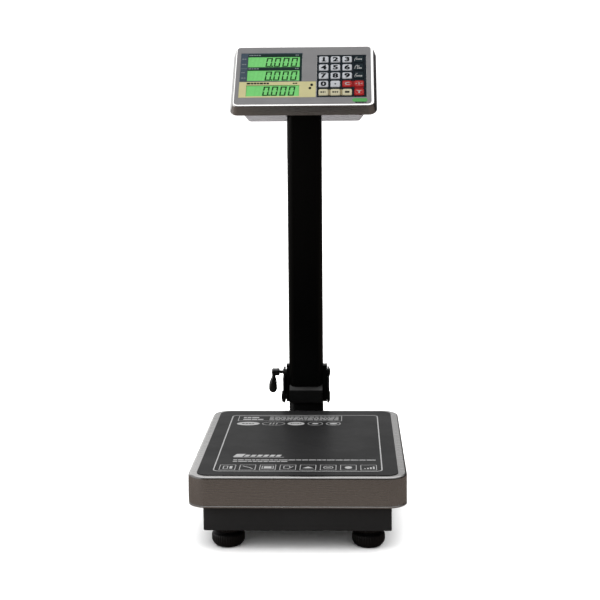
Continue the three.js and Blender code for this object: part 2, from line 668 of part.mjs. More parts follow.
// Rocker: a shallow V seen from the side, turning about an axis across the head.
function powerSwitch() {
  const { u, v, w, h } = SWITCH;
  const z = -CASE.depth;
  const rocker = [[-8.6, -2.4], [0, 0], [8.6, 0], [8, 5], [-8, 5]].map(([y, d]) => [v + y, z + d]);
  return mesh("power_switch", plateX(rocker, u - w / 2 + 0.5, u + w / 2 - 0.5), LOOK.black);
}

function chargeSocket() {
  const { u, v, r, bore } = SOCKET;
  const z = -CASE.depth;
  const shell = cut(rodZ(u, v, r, z - 0.8, z + 12), rodZ(u, v, bore, z - 2, z + 10));
  return mesh("charge_socket", join(shell, rodZ(u, v, 0.9, z + 3, z + 11, 8)), LOOK.black);
}

function head() {
  const group = new THREE.Group();
  group.position.set(0, HEAD_Y, HEAD_Z);
  group.rotation.x = HEAD_TILT;
  group.add(headCover(), faceFilm(), lowerCase(), displayPanel(), lcdModule(), mainBoard());
  group.add(keypadFrame(), keypadBoard(), battery(), batteryDoor(), powerSwitch(), chargeSocket());
  for (const place of keyPlaces()) {
    group.add(keyCap(place));
  }
  return group;
}

// ---------------------------------------------------------------- signal cable
function baseCable() {
  const points = [
    [0, 276, 58], [0, 300, 54], [0, 340, 46], [0, 384, 46], [0, 404, 46], [0, 424, 52],
    [0, 435, 72], [0, 437, 95], [0, 437, PIVOT.z + 12],
  ];
  return mesh("cell_cable_base", wire(points, 2.5), LOOK.rubber);
}

function mastCable() {
  const end = headPoint(0, 55, 13);
  const points = [
    [0, 434, MAST_FOOT + 18], [0, 436, MAST_FOOT + 40], [0, 436, HEAD_Z - 60],
    headPoint(0, 55, 40), headPoint(0, 55, 26), end,
  ];
  return mesh("cell_cable_mast", wire(points, 2.5), LOOK.rubber);
}

// ---------------------------------------------------------------- whole scale
const rearmost = headPoint(0, FACE_L + COVER_FLARE, COVER_D)[1];
const caseRear = headPoint(0, CASE.v1, CASE.depth)[1];

const scale = new THREE.Group();
scale.position.y = -Math.max(rearmost, caseRear) / 2;
scale.add(tray(), platformSheet(), loadFrame(), ...bumpers(), loadCell());
scale.add(baseFrame(), baseCrossbeam(), bubbleLevel());
footPlaces().forEach(([x, y], i) => scale.add(foot(i + 1, x, y), lockNut(i + 1, x, y)));
scale.add(mastStub(), hingeBracket(), pivotBolt(), pivotNut(), mast(), clampBolt(), clampLever());
scale.add(head(), baseCable(), mastCable());

export default scale;
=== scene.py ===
"""Looks of a counter price scale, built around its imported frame. Lengths are in mm until they
are placed: every builder works in mm and MM turns them into metres."""
import json
import math

import bpy
import bmesh
import numpy as np
from mathutils import Matrix, Vector


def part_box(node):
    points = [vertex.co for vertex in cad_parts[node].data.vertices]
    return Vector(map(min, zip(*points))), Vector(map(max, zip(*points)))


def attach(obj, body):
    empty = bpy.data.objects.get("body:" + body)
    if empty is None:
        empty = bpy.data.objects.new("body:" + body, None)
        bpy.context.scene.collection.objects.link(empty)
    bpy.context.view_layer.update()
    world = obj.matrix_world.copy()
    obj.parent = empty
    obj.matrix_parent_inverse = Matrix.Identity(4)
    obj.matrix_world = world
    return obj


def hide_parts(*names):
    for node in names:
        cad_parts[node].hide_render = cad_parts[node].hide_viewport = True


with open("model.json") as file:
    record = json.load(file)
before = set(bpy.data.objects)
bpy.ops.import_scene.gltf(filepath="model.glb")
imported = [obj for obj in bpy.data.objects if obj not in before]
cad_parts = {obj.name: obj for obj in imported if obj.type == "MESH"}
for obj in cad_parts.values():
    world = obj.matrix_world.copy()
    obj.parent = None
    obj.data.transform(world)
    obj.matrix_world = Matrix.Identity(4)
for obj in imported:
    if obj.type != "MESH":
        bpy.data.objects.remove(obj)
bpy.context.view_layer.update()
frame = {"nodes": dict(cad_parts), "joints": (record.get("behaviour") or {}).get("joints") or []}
MM = 0.001
TAU = 2 * math.pi

# ---------- places, from the frame
NODES = frame["nodes"]
JOINTS = {j["name"]: j for j in frame["joints"]}


def node_box(name):
    """Lowest and highest corner of a node, in mm."""
    low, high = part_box(name)
    return low / MM, high / MM


PRESS = Vector(JOINTS["key_0_press"]["axis"])
TILT = math.atan2(PRESS.y, -PRESS.z)
TURN = Matrix.Rotation(TILT, 4, "X")


def turned_box(name):
    """A node's box in axes turned with the head, in mm."""
    back = TURN.inverted()
    points = np.array([(back @ v.co)[:] for v in NODES[name].data.vertices]) / MM
    return Vector(points.min(0)), Vector(points.max(0))


COVER_LOW, COVER_HIGH = turned_box("head_cover")
COVER_FLARE = 4.5                # how far the cover's walls lean out, on each side
HEAD_START = Vector((0, COVER_LOW.y + COVER_FLARE, COVER_HIGH.z))
HEAD = TURN @ Matrix.Translation(HEAD_START * MM)
FACE_L = COVER_HIGH.y - COVER_LOW.y - 2 * COVER_FLARE
FACE_W = COVER_HIGH.x - COVER_LOW.x - 2 * COVER_FLARE
COVER_D = COVER_HIGH.z - COVER_LOW.z
IDENTITY = Matrix.Identity(4)


def head_box(name):
    """A node's box across the head (u), up its slope (v) and out of its face (w), in mm."""
    low, high = turned_box(name)
    return low - HEAD_START, high - HEAD_START


def middle(low, high):
    """Middle of a box, seen along its third axis."""
    return (low.x + high.x) / 2, (low.y + high.y) / 2


def moved(x, y, z):
    """Matrix that moves a mesh to a place given in mm."""
    return Matrix.Translation(Vector((x, y, z)) * MM)


TRAY_LOW, TRAY_HIGH = node_box("tray")
SHEET_LOW, SHEET_HIGH = node_box("platform_sheet")
FRONT = TRAY_LOW.y
TOP = SHEET_HIGH.z


# ---------- meshes
def linked(name, data):
    """A new object in the scene."""
    made = bpy.data.objects.new(name, data)
    bpy.context.scene.collection.objects.link(made)
    return made


def new_object(name, verts, faces, place=IDENTITY, smooth=30.0):
    """A mesh object from points in mm, placed in the row frame."""
    mesh = bpy.data.meshes.new(name)
    mesh.from_pydata([(place @ (Vector(v) * MM))[:] for v in verts], [], faces)
    mesh.validate()
    tidy_mesh(mesh)
    made = linked(name, mesh)
    shade(made, smooth)
    return made


def tidy_mesh(mesh):
    """Joins vertices that coincide and turns every face outwards."""
    work = bmesh.new()
    work.from_mesh(mesh)
    bmesh.ops.remove_doubles(work, verts=work.verts, dist=1e-7)
    bmesh.ops.recalc_face_normals(work, faces=work.faces)
    work.to_mesh(mesh)
    work.free()


def shade(piece, angle):
    """Smooth shading, with edges sharper than the angle kept sharp."""
    mesh = piece.data
    mesh.polygons.foreach_set("use_smooth", [True] * len(mesh.polygons))
    work = bmesh.new()
    work.from_mesh(mesh)
    limit = math.radians(angle)
    for edge in work.edges:
        edge.smooth = len(edge.link_faces) == 2 and edge.calc_face_angle(0) < limit
    work.to_mesh(mesh)
    work.free()


def evaluated(piece, smooth):
    """Applies a piece's modifiers to its mesh."""
    graph = bpy.context.evaluated_depsgraph_get()
    mesh = bpy.data.meshes.new_from_object(piece.evaluated_get(graph))
    old = piece.data
    piece.modifiers.clear()
    piece.data = mesh
    bpy.data.meshes.remove(old)
    shade(piece, smooth)


def bevel(piece, width, angle=35.0):
    """Rounds a piece's sharp edges by a width in mm."""
    made = piece.modifiers.new("bevel", "BEVEL")
    made.width = width * MM
    made.segments = 2
    made.limit_method = "ANGLE"
    made.angle_limit = math.radians(angle)
    made.harden_normals = True
    return piece


WELD_REACH = 0.002               # mm, between vertices that a CAD mesh repeats
FLAT_ANGLE = 0.6                 # degrees, between triangles of one flat face


def weld(piece):
    """Joins the vertices that a CAD mesh repeats along its edges."""
    piece.modifiers.new("weld", "WELD").merge_threshold = WELD_REACH * MM


def flatten(piece):
    """Merges the triangles of a flat face."""
    flat = piece.modifiers.new("flat", "DECIMATE")
    flat.decimate_type = "DISSOLVE"
    flat.angle_limit = math.radians(FLAT_ANGLE)


def round_rect(x0, x1, y0, y1, r, steps=8):
    """Outline of a rectangle with rounded corners."""
    points = []
    centres = ((x1 - r, y1 - r), (x0 + r, y1 - r), (x0 + r, y0 + r), (x1 - r, y0 + r))
    for quarter, (cx, cy) in enumerate(centres):
        for i in range(steps + 1):
            a = (quarter + i / steps) * TAU / 4
            points.append((cx + r * math.cos(a), cy + r * math.sin(a)))
    return points


def loft(name, sections, place=IDENTITY, smooth=30.0, closed=False):
    """Skin through outlines [(points, z)]; both ends are capped unless it closes on itself."""
    count = len(sections[0][0])
    verts = [(x, y, z) for outline, z in sections for x, y in outline]
    faces = []
    rows = len(sections) if closed else len(sections) - 1
    for s in range(rows):
        t = (s + 1) % len(sections)
        for i in range(count):
            j = (i + 1) % count
            faces.append((s * count + i, s * count + j, t * count + j, t * count + i))
    if not closed:
        faces.append(tuple(reversed(range(count))))
        faces.append(tuple(range((len(sections) - 1) * count, len(sections) * count)))
    return new_object(name, verts, faces, place, smooth)


def circle(r, sides, ribs=0, depth=0.0, power=1.0):
    """Circle with grooves of some depth between its ribs."""
    points = []
    for i in range(sides):
        a = TAU * i / sides
        rad = r - depth * (0.5 - 0.5 * math.cos(ribs * a)) ** power
        points.append((rad * math.cos(a), rad * math.sin(a)))
    return points


def lathe(name, profile, sides, place):
    """Turned solid from a profile [(r, z)]."""
    return loft(name, [(circle(r, sides), z) for r, z in profile], place, 35.0)


def cell_plate(name, xs, ys, filled, z0, z1):
    """Plate on the head made of the cells of a grid for which filled(x, y) is true."""
    xs, ys = sorted(set(xs)), sorted(set(ys))
    work = bmesh.new()
    corner = {}

    def at(i, j, z):
        if (i, j, z) not in corner:
            corner[i, j, z] = work.verts.new(HEAD @ (Vector((xs[i], ys[j], z)) * MM))
        return corner[i, j, z]

    def has(i, j):
        if not (0 <= i < len(xs) - 1 and 0 <= j < len(ys) - 1):
            return False
        return filled((xs[i] + xs[i + 1]) / 2, (ys[j] + ys[j + 1]) / 2)

    for i in range(len(xs) - 1):
        for j in range(len(ys) - 1):
            if not has(i, j):
                continue
            square = ((i, j), (i + 1, j), (i + 1, j + 1), (i, j + 1))
            work.faces.new([at(a, b, z1) for a, b in square])
            work.faces.new([at(a, b, z0) for a, b in reversed(square)])
            for (a, b), (c, d), (di, dj) in zip(square, square[1:] + square[:1],
                                                ((0, -1), (1, 0), (0, 1), (-1, 0))):
                if not has(i + di, j + dj):
                    work.faces.new((at(a, b, z0), at(c, d, z0), at(c, d, z1), at(a, b, z1)))
    limit = math.radians(1)
    bmesh.ops.dissolve_limit(work, angle_limit=limit, verts=work.verts, edges=work.edges)
    bmesh.ops.recalc_face_normals(work, faces=work.faces)
    mesh = bpy.data.meshes.new(name)
    work.to_mesh(mesh)
    work.free()
    return linked(name, mesh)


def block(name, u0, u1, v0, v1, w0, w1):
    """Plain block on the head."""
    return cell_plate(name, [u0, u1], [v0, v1], lambda x, y: True, w0, w1)


class Print:
    """Thin raised ink shapes gathered in one mesh."""

    def __init__(self, place, z, thick):
        self.place, self.z, self.thick = place, z, thick
        self.verts, self.faces = [], []

    def outline(self, points, hole=None):
        """A filled outline, or a band between an outline and a hole with as many points."""
        n, base = len(points), len(self.verts)
        z0, z1 = self.z, self.z + self.thick
        rings = [points] if hole is None else [points, hole]
        for ring in rings:
            for z in (z0, z1):
                self.verts += [(x, y, z) for x, y in ring]
        for i in range(n):
            j = (i + 1) % n
            self.faces.append((base + i, base + j, base + n + j, base + n + i))
            if hole is not None:
                a, b = base + 2 * n, base + 3 * n
                self.faces.append((a + j, a + i, b + i, b + j))
                self.faces.append((base + n + i, base + n + j, b + j, b + i))
                self.faces.append((base + j, base + i, a + i, a + j))
        if hole is None:
            self.faces.append(tuple(base + n + i for i in range(n)))
            self.faces.append(tuple(base + i for i in reversed(range(n))))

    def bar(self, x0, x1, y0, y1, slant=0.0):
        """A bar whose ends lean sideways by a share of its height."""
        lean = slant * (y1 - y0)
        self.outline([(x0, y0), (x1, y0), (x1 + lean, y1), (x0 + lean, y1)])

    def frame(self, x0, x1, y0, y1, r, line):
        """A rounded frame drawn with a line of some width."""
        inner = max(r - line, 0.05)
        self.outline(round_rect(x0, x1, y0, y1, r, 6),
                     round_rect(x0 + line, x1 - line, y0 + line, y1 - line, inner, 6))

    def ellipse(self, cx, cy, rx, ry, line=None, sides=40):
        """A filled ellipse, or its outline."""
        def ring(a, b):
            return [(cx + a * math.cos(TAU * i / sides), cy + b * math.sin(TAU * i / sides))
                    for i in range(sides)]
        self.outline(ring(rx, ry), None if line is None else ring(rx - line, ry - line))

    def stroke(self, x0, y0, x1, y1, width):
        """A straight line of some width."""
        d = Vector((x1 - x0, y1 - y0))
        n = Vector((-d.y, d.x)).normalized() * width / 2
        ends = ((x0, y0, -1), (x1, y1, -1), (x1, y1, 1), (x0, y0, 1))
        self.outline([(x + s * n.x, y + s * n.y) for x, y, s in ends])

    def done(self, name, *finish):
        """Makes and finishes the piece that holds all the shapes."""
        finish_piece(new_object(name, self.verts, self.faces, self.place, 5.0), *finish)


def joined(name, pieces):
    """One object from several."""
    bpy.ops.object.select_all(action="DESELECT")
    for piece in pieces:
        piece.select_set(True)
    bpy.context.view_layer.objects.active = pieces[0]
    bpy.ops.object.join()
    pieces[0].name = name
    return pieces[0]


# ---------- materials
class Nodes:
    """Short way to build a material's nodes."""

    def __init__(self, name, color, rough, metal, specular=0.5):
        self.material = bpy.data.materials.new(name)
        self.material.use_nodes = True
        self.tree = self.material.node_tree
        self.shader = self.tree.nodes["Principled BSDF"]
        self.coords = None
        for key, value in (("Base Color", (*color, 1)), ("Roughness", rough),
                           ("Metallic", metal), ("Specular IOR Level", specular)):
            self.shader.inputs[key].default_value = value

    def add(self, kind, **values):
        """A node with some of its inputs or settings given."""
        node = self.tree.nodes.new(kind)
        for key, value in values.items():
            if key in node.inputs:
                node.inputs[key].default_value = value
            else:
                setattr(node, key, value)
        return node

    def link(self, a, b):
        self.tree.links.new(a, b)

    def point(self, scale):
        """Object coordinates, stretched."""
        if self.coords is None:
            self.coords = self.add("ShaderNodeTexCoord")
        mapping = self.add("ShaderNodeMapping")
        mapping.inputs["Scale"].default_value = scale
        self.link(self.coords.outputs["Object"], mapping.inputs["Vector"])
        return mapping.outputs["Vector"]

    def noise(self, scale, detail, stretch=(1, 1, 1), rough=0.55):
        node = self.add("ShaderNodeTexNoise", Scale=scale, Detail=detail, Roughness=rough)
        self.link(self.point(stretch), node.inputs["Vector"])
        return node.outputs["Fac"]

    def ramp(self, value, low, high, a=0.3, b=0.7):
        """Maps a value between a and b to numbers or colours."""
        node = self.add("ShaderNodeValToRGB")
        low = (low,) * 3 if isinstance(low, float) else low
        high = (high,) * 3 if isinstance(high, float) else high
        for stop, position, color in zip(node.color_ramp.elements, (a, b), (low, high)):
            stop.position = position
            stop.color = (*color, 1)
        self.link(value, node.inputs["Fac"])
        return node.outputs["Color"]

    def mix(self, share, a, b):
        """A blend of two colours."""
        node = self.add("ShaderNodeMix", data_type="RGBA")
        factor, first, second = (node.inputs[k] for k in (0, 6, 7))
        factor.default_value = share
        self.link(a, first)
        self.link(b, second)
        return node.outputs[2]

    def color(self, value):
        self.link(value, self.shader.inputs["Base Color"])

    def rough(self, value):
        self.link(value, self.shader.inputs["Roughness"])

    def bump(self, height, strength, distance):
        """Fine relief, with its height in mm."""
        node = self.add("ShaderNodeBump", Strength=strength, Distance=distance * MM)
        self.link(height, node.inputs["Height"])
        self.link(node.outputs["Normal"], self.shader.inputs["Normal"])

    def emit(self, strength):
        """White light given off by the surface."""
        self.shader.inputs["Emission Color"].default_value = (1, 1, 1, 1)
        self.shader.inputs["Emission Strength"].default_value = strength


def tint(color, factor):
    """A colour made darker or lighter."""
    return tuple(min(1.0, c * factor) for c in color)


def brushed(name, color, rough, along, dirt):
    """Brushed sheet steel: fine lines along one axis and faint smears."""
    m = Nodes(name, color, rough, 1.0)
    stretch = [1.0, 1.0, 1.0]
    stretch[along] = 0.012
    lines = m.noise(2600, 3.0, stretch)
    smear = m.noise(9, 5.0)
    dark, light = tint(color, 1 - dirt), tint(color, 1 + dirt)
    m.color(m.mix(0.35, m.ramp(smear, dark, light), m.ramp(lines, dark, light)))
    fine = m.ramp(lines, rough * 0.85, rough * 1.18)
    m.rough(m.mix(0.4, fine, m.ramp(smear, rough * 0.85, rough * 1.2)))
    m.bump(lines, 0.03, 0.012)
    return m.material


def painted(name, color, rough, grain=0.1, specular=0.4):
    """Powder coat: fine orange peel and slight mottling."""
    m = Nodes(name, color, rough, 0.0, specular)
    peel = m.noise(900, 2.0)
    mottle = m.noise(14, 5.0)
    m.color(m.ramp(mottle, tint(color, 0.88), tint(color, 1.12)))
    m.rough(m.ramp(mottle, rough * 0.88, rough * 1.14))
    m.bump(peel, grain, 0.05)
    return m.material


def moulded(name, color, rough, grain=0.12, scale=1500, specular=0.4):
    """Moulded plastic: fine spark texture and slight colour drift."""
    m = Nodes(name, color, rough, 0.0, specular)
    fine = m.noise(scale, 2.0)
    drift = m.noise(11, 4.0)
    m.color(m.ramp(drift, tint(color, 0.93), tint(color, 1.06)))
    m.rough(m.ramp(m.noise(60, 5.0), rough * 0.85, rough * 1.2))
    m.bump(fine, grain, 0.04)
    return m.material


def film(name, color, rough, specular=0.4):
    """Printed polyester film: fine matte grain, faint finger smears."""
    m = Nodes(name, color, rough, 0.0, specular)
    smear = m.noise(16, 6.0, rough=0.6)
    m.color(m.ramp(m.noise(30, 3.0), tint(color, 0.95), tint(color, 1.05)))
    m.rough(m.ramp(smear, rough * 0.92, rough * 1.1, 0.35, 0.65))
    m.bump(m.noise(2400, 2.0), 0.05, 0.02)
    return m.material


def glow(name, color, strength):
    """Lit display: it gives off its own, slightly uneven colour."""
    m = Nodes(name, color, 0.2, 0.0, 0.4)
    shades = m.ramp(m.noise(22, 2.0), tint(color, 0.96), tint(color, 1.04))
    m.color(shades)
    m.emit(strength)
    m.link(shades, m.shader.inputs["Emission Color"])
    return m.material


STEEL_WALL = brushed("steel_wall", (0.53, 0.525, 0.52), 0.26, 0, 0.05)
STEEL_COVER = brushed("steel_cover", (0.46, 0.455, 0.45), 0.28, 0, 0.06)
ZINC = brushed("zinc", (0.5, 0.51, 0.52), 0.42, 1, 0.2)
ALLOY = brushed("alloy", (0.72, 0.73, 0.74), 0.36, 1, 0.08)
SHEET = film("sheet_film", (0.022, 0.022, 0.0225), 0.4, 0.045)
# white ink for print, also used for the painted highlight arcs on the dark keys
WHITE_INK_AND_HIGHLIGHT = film("ink_white", (0.46, 0.46, 0.46), 0.45, 0.2)
INK_DARK = film("ink_dark", (0.008, 0.01, 0.012), 0.45, 0.08)
BASE_PAINT = painted("base_paint", (0.054, 0.058, 0.062), 0.5)
MAST_PAINT = painted("mast_paint", (0.0018, 0.0018, 0.0018), 0.42, 0.06, 0.12)
HINGE_PAINT = painted("hinge_paint", (0.003, 0.003, 0.003), 0.42, 0.05, 0.3)
LEVER_PAINT = painted("lever_paint", (0.006, 0.006, 0.006), 0.27, 0.12, 0.5)
BLACK_STEEL = painted("black_steel", (0.008, 0.008, 0.008), 0.35, 0.04, 0.5)
FOOT = moulded("foot_plastic", (0.008, 0.008, 0.0085), 0.5)
RUBBER = moulded("rubber", (0.01, 0.01, 0.01), 0.8, 0.25, 700, 0.2)
FACE = film("face_film", (0.265, 0.262, 0.268), 0.5, 0.25)
CASE = moulded("case_plastic", (0.36, 0.355, 0.37), 0.48)
LABEL = film("label_film", (0.05, 0.078, 0.11), 0.38, 0.3)
LABEL_EDGE = film("label_edge", (0.012, 0.03, 0.027), 0.4, 0.1)
LABEL_INK = film("label_ink", (0.22, 0.25, 0.27), 0.45, 0.3)
INK_RED = film("ink_red", (0.62, 0.16, 0.14), 0.42, 0.2)
BROWN = film("key_gap_brown", (0.3, 0.25, 0.13), 0.45, 0.3)
RED_FILM = film("key_gap_red", (0.3, 0.006, 0.008), 0.42, 0.15)
BEIGE = film("beige_film", (0.68, 0.63, 0.32), 0.45)
GROUND = film("ground_film", (0.008, 0.014, 0.02), 0.36, 0.12)
LCD = glow("lcd_green", (0.155, 0.54, 0.15), 0.27)
SEGMENT = film("lcd_segment", (0.012, 0.06, 0.014), 0.3, 0.1)
GHOST = glow("lcd_ghost", (0.145, 0.51, 0.14), 0.27)
KEY_GREY = moulded("key_grey", (0.6, 0.62, 0.66), 0.36, 0.06)
KEY_RED = moulded("key_red", (0.44, 0.008, 0.01), 0.34, 0.06, 1500, 0.2)
KEY_BEIGE = moulded("key_beige", (0.64, 0.6, 0.4), 0.38, 0.06)
KEY_DARK = moulded("key_dark", (0.01, 0.022, 0.028), 0.34, 0.06, 1500, 0.15)
GREEN = film("badge_green", (0.09, 0.42, 0.1), 0.4)
BOARD = moulded("board", (0.015, 0.11, 0.045), 0.45, 0.2, 400)
BATTERY = moulded("battery_case", (0.03, 0.033, 0.036), 0.55)
SWITCH = moulded("switch_plastic", (0.012, 0.012, 0.012), 0.35)
VIAL = film("vial", (0.5, 0.62, 0.1), 0.12, 0.6)


def coat(piece, material):
    """Gives a piece its only material."""
    piece.data.materials.clear()
    piece.data.materials.append(material)


def finish_piece(piece, material, body, slot, *stands_for):
    """Material, body and the CAD nodes that a piece stands for; the slot is not used."""
    coat(piece, material)
    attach(piece, body)
    if stands_for:
        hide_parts(*stands_for)
    return piece


def paint(node, material, width, angle=35.0):
    """Softens the edges of a CAD node that keeps its shape, and gives it a material."""
    piece = NODES[node]
    piece.data.polygons.foreach_set("use_smooth", [True] * len(piece.data.polygons))
    weld(piece)
    flatten(piece)
    bevel(piece, width, angle)
    coat(piece, material)
    return piece


# ---------- platform
def tray():
    """Pan with a rolled upper edge and a beaded hem under a groove."""
    x1, y0, y1 = TRAY_HIGH.x, FRONT, TRAY_HIGH.y
    low, top = TRAY_LOW.z, TRAY_HIGH.z
    corner, edge, wall = 28.0, 3.5, 1.5

    def ring(e):
        return round_rect(-x1 + e, x1 - e, y0 + e, y1 - e, max(corner - e, 2), 12)

    sections = [(ring(wall + 2.2), top - wall), (ring(wall + 0.6), top - wall - 0.6)]
    sections += [(ring(wall), top - wall - 2.2), (ring(wall), low + 0.7), (ring(0.75), low)]
    for inset, rise in ((0.2, 0.2), (0, 0.8), (0, 1.9), (0.35, 2.3), (0.6, 2.7), (0.35, 3.1), (0, 3.5)):
        sections.append((ring(inset), low + rise))
    for i in range(9):
        a = TAU / 4 * i / 8
        sections.append((ring(edge * (1 - math.cos(a))), top - edge * (1 - math.sin(a))))
    piece = loft("tray_pan", sections, smooth=40)
    return finish_piece(piece, STEEL_WALL, "tray", "brushed_steel", "tray")


def sheet():
    """Thin sheet with rounded corners and a softened edge."""
    low, high = SHEET_LOW, SHEET_HIGH
    ring = [round_rect(low.x + e, high.x - e, low.y + e, high.y - e, 17 - e, 10) for e in (0, 0.25)]
    piece = loft("sheet", [(ring[0], low.z), (ring[0], high.z - 0.25), (ring[1], high.z)], smooth=20)
    finish_piece(piece, SHEET, "tray", "platform_film", "platform_sheet")


def dashes(ink, x0, x1, y0, y1, seed, gap=1.2, words=(4.0, 13.0)):
    """A row of dashes of uneven lengths that stands for a line of small print."""
    draw = np.random.default_rng(seed)
    x = x0
    while x < x1 - 2:
        length = min(draw.uniform(*words), x1 - x)
        ink.bar(x, x + length, y0, y1)
        x += length + gap


def pictogram(ink, index, x0, x1, y0, y1):
    """Simple generic sign inside one box of the row along the front."""
    cx, cy = (x0 + x1) / 2, (y0 + y1) / 2
    if index == 0:
        ink.frame(x0 + 5, x0 + 12, y0 + 6, y1 - 6, 1, 1.2)
        ink.bar(x0 + 14, x0 + 18, y0 + 7, y1 - 7)
    elif index == 1:
        ink.stroke(x0 + 4, y1 - 6, cx + 2, cy, 1.6)
        ink.stroke(cx + 2, cy, x1 - 4, y0 + 7, 1.6)
    elif index == 2:
        ink.frame(x0 + 3, x1 - 3, y0 + 6, y1 - 6, 1, 1.2)
        ink.bar(x0 + 6, x1 - 6, y0 + 9, y1 - 9)
    elif index == 3:
        ink.frame(x0 + 5, x1 - 8, y0 + 8, y1 - 5, 2, 1.3)
        ink.stroke(cx, y0 + 6, x1 - 4, y1 - 8, 1.5)
    elif index == 4:
        ink.outline([(cx - 8, cy - 4), (cx + 8, cy - 4), (cx, cy + 5)])
    elif index == 5:
        ink.ellipse(cx, cy, 7, 7, 1.4)
        ink.bar(cx - 3.5, cx + 3.5, cy - 1, cy + 1)
    elif index == 6:
        ink.ellipse(cx, cy, 5, 6)
    else:
        for k in range(4):
            ink.bar(x0 + 5 + 4 * k, x0 + 7.4 + 4 * k, y0 + 6, y0 + 9 + 3.2 * k)


def sheet_print():
    """White frame line, an empty box, ovals and a row of signs, with no words."""
    y = FRONT
    ink = Print(IDENTITY, SHEET_HIGH.z, 0.05)
    ink.frame(-117, 117, y + 27, y + 359, 9, 1.7)
    ink.frame(-106, 59.5, y + 320, y + 354, 1, 0.9)
    dashes(ink, -98, -72, y + 339, y + 346, 3)
    dashes(ink, -98, -66, y + 327, y + 333, 4)
    for k in range(3):
        dashes(ink, -56, 54, y + 326 + 9 * k, y + 330 + 9 * k, 5 + k, 1.5, (3.0, 9.0))
    ovals = ((-88, 18, None), (-48, 18, 1.0), (-12.6, 13.5, None), (17.7, 12, 1.0), (46.3, 11.5, 1.4))
    for cx, rx, line in ovals:
        ink.ellipse(cx, y + 302, rx, 11, line)
    for k in range(3):
        ink.stroke(-54 + 5 * k, y + 297, -52 + 5 * k, y + 307, 1.6)
    ink.ellipse(17.7, y + 302, 5, 4)
    ink.ellipse(46.3, y + 302, 6, 5)
    ink.bar(-95, -82, y + 102, y + 118, 0.28)
    for k in range(6):
        ink.bar(-79.5 + 9 * k, -73 + 9 * k, y + 103.5, y + 113.5, 0.28)
    ink.bar(-94, -22, y + 99.5, y + 101)
    dashes(ink, -93, 110, y + 84, y + 87.5, 11)
    dashes(ink, -93, -16, y + 76, y + 79.5, 12)
    for k in range(8):
        x0 = -109 + 27.95 * k
        ink.frame(x0, x0 + 22.5, y + 33, y + 60, 1, 0.9)
        pictogram(ink, k, x0, x0 + 22.5, y + 33, y + 60)
    ink.done("sheet_print", WHITE_INK_AND_HIGHLIGHT, "tray", "platform_film")
    dark = Print(IDENTITY, SHEET_HIGH.z + 0.05, 0.03)
    dashes(dark, -98, -78, y + 300, y + 304, 21, 1.0, (3, 5))
    dashes(dark, -21, -4, y + 300, y + 304, 22, 1.0, (2, 4))
    dark.done("sheet_print_dark", SHEET, "tray", "platform_film")


# ---------- base
def foot(index):
    """Pad with moulded grip ribs; its stud rises into the tub."""
    low, high = node_box(f"foot_{index}")
    r = (high.x - low.x) / 2
    stud, top = 4.0, high.z
    profile = [(r - 11, 0.8), (r - 10, 0.0), (r - 8, 0.3), (r - 5.2, 1.6), (r - 2.9, 3.7), (r - 1.2, 6.4)]
    profile += [(r - 0.2, 9.0), (r, 10), (r, 13), (r, 16), (r - 0.2, 17.2), (r - 1.0, 18.2), (r - 2.4, 18.9)]
    profile += [(r - 5, 19.3), (r - 6, 20.4), (stud + 4, 20.9), (stud, 20.9)]
    z = 21.2
    while z < top - 1.5:
        profile += [(stud - 0.45, z), (stud, z + 0.4), (stud, z + 0.6), (stud - 0.45, z + 1.0)]
        z += 1.25
    profile += [(stud - 0.45, top - 0.6), (stud - 1, top)]
    ribs, depth, ribs_low, ribs_high = 40, 0.8, 8.0, 17.5
    sections = []
    for rad, z in profile:
        groove = depth if ribs_low <= z <= ribs_high else 0.0
        sections.append((circle(rad, 240, ribs, groove, 1.5), z))
    piece = loft(f"foot_pad_{index}", sections, moved(*middle(low, high), 0), 42)
    finish_piece(piece, FOOT, f"foot_{index}", "foot_plastic", f"foot_{index}")


def lock_nut(index):
    """Ribbed collar with a stepped boss, bored for the stud."""
    low, high = node_box(f"foot_locknut_{index}")
    r, z0, z1, bore = (high.x - low.x) / 2, low.z, high.z, 4.4
    profile = [(r - 1.4, z0), (r - 0.4, z0 + 0.8), (r, z0 + 1.4), (r, z1 - 2.6), (r - 0.4, z1 - 2.0)]
    profile += [(r - 1.6, z1 - 1.5), (r - 6, z1 - 1.3), (r - 7, z1 - 0.2), (r - 7.4, z1)]
    profile += [(bore, z1), (bore, z0)]
    ribs, depth, ribbed = 36, 0.9, r - 1.7
    sections = [(circle(rad, 216, ribs, depth if ribbed < rad else 0.0), z) for rad, z in profile]
    piece = loft(f"locknut_{index}", sections, moved(*middle(low, high), 0), 40, closed=True)
    finish_piece(piece, FOOT, "base", "foot_plastic", f"foot_locknut_{index}")


def screws(name, profile, places, body):
    """Turned screw heads at several places, as one piece."""
    heads = [lathe(f"{name}_{k}", profile, 24, place) for k, place in enumerate(places)]
    finish_piece(joined(name + "s", heads), BLACK_STEEL, body, "black_steel")


def base_details():
    """Rounded screw heads on the tub's side walls, where the load beam is held."""
    low, high = node_box("base_frame")
    beam_low, beam_high = node_box("base_crossbeam")
    profile = [(3.4, -0.6), (4.6, 0), (4.5, 0.6), (3.6, 1.5), (2.2, 2.0), (1.3, 2.1), (1.2, 1.4), (0.1, 1.3)]
    places = [moved(x, y, low.z + 8) @ Matrix.Rotation(side * TAU / 4, 4, "Y")
              for side, x in ((-1, low.x), (1, high.x)) for y in (beam_low.y + 12, beam_high.y - 12)]
    screws("tub_screw", profile, places, "base")


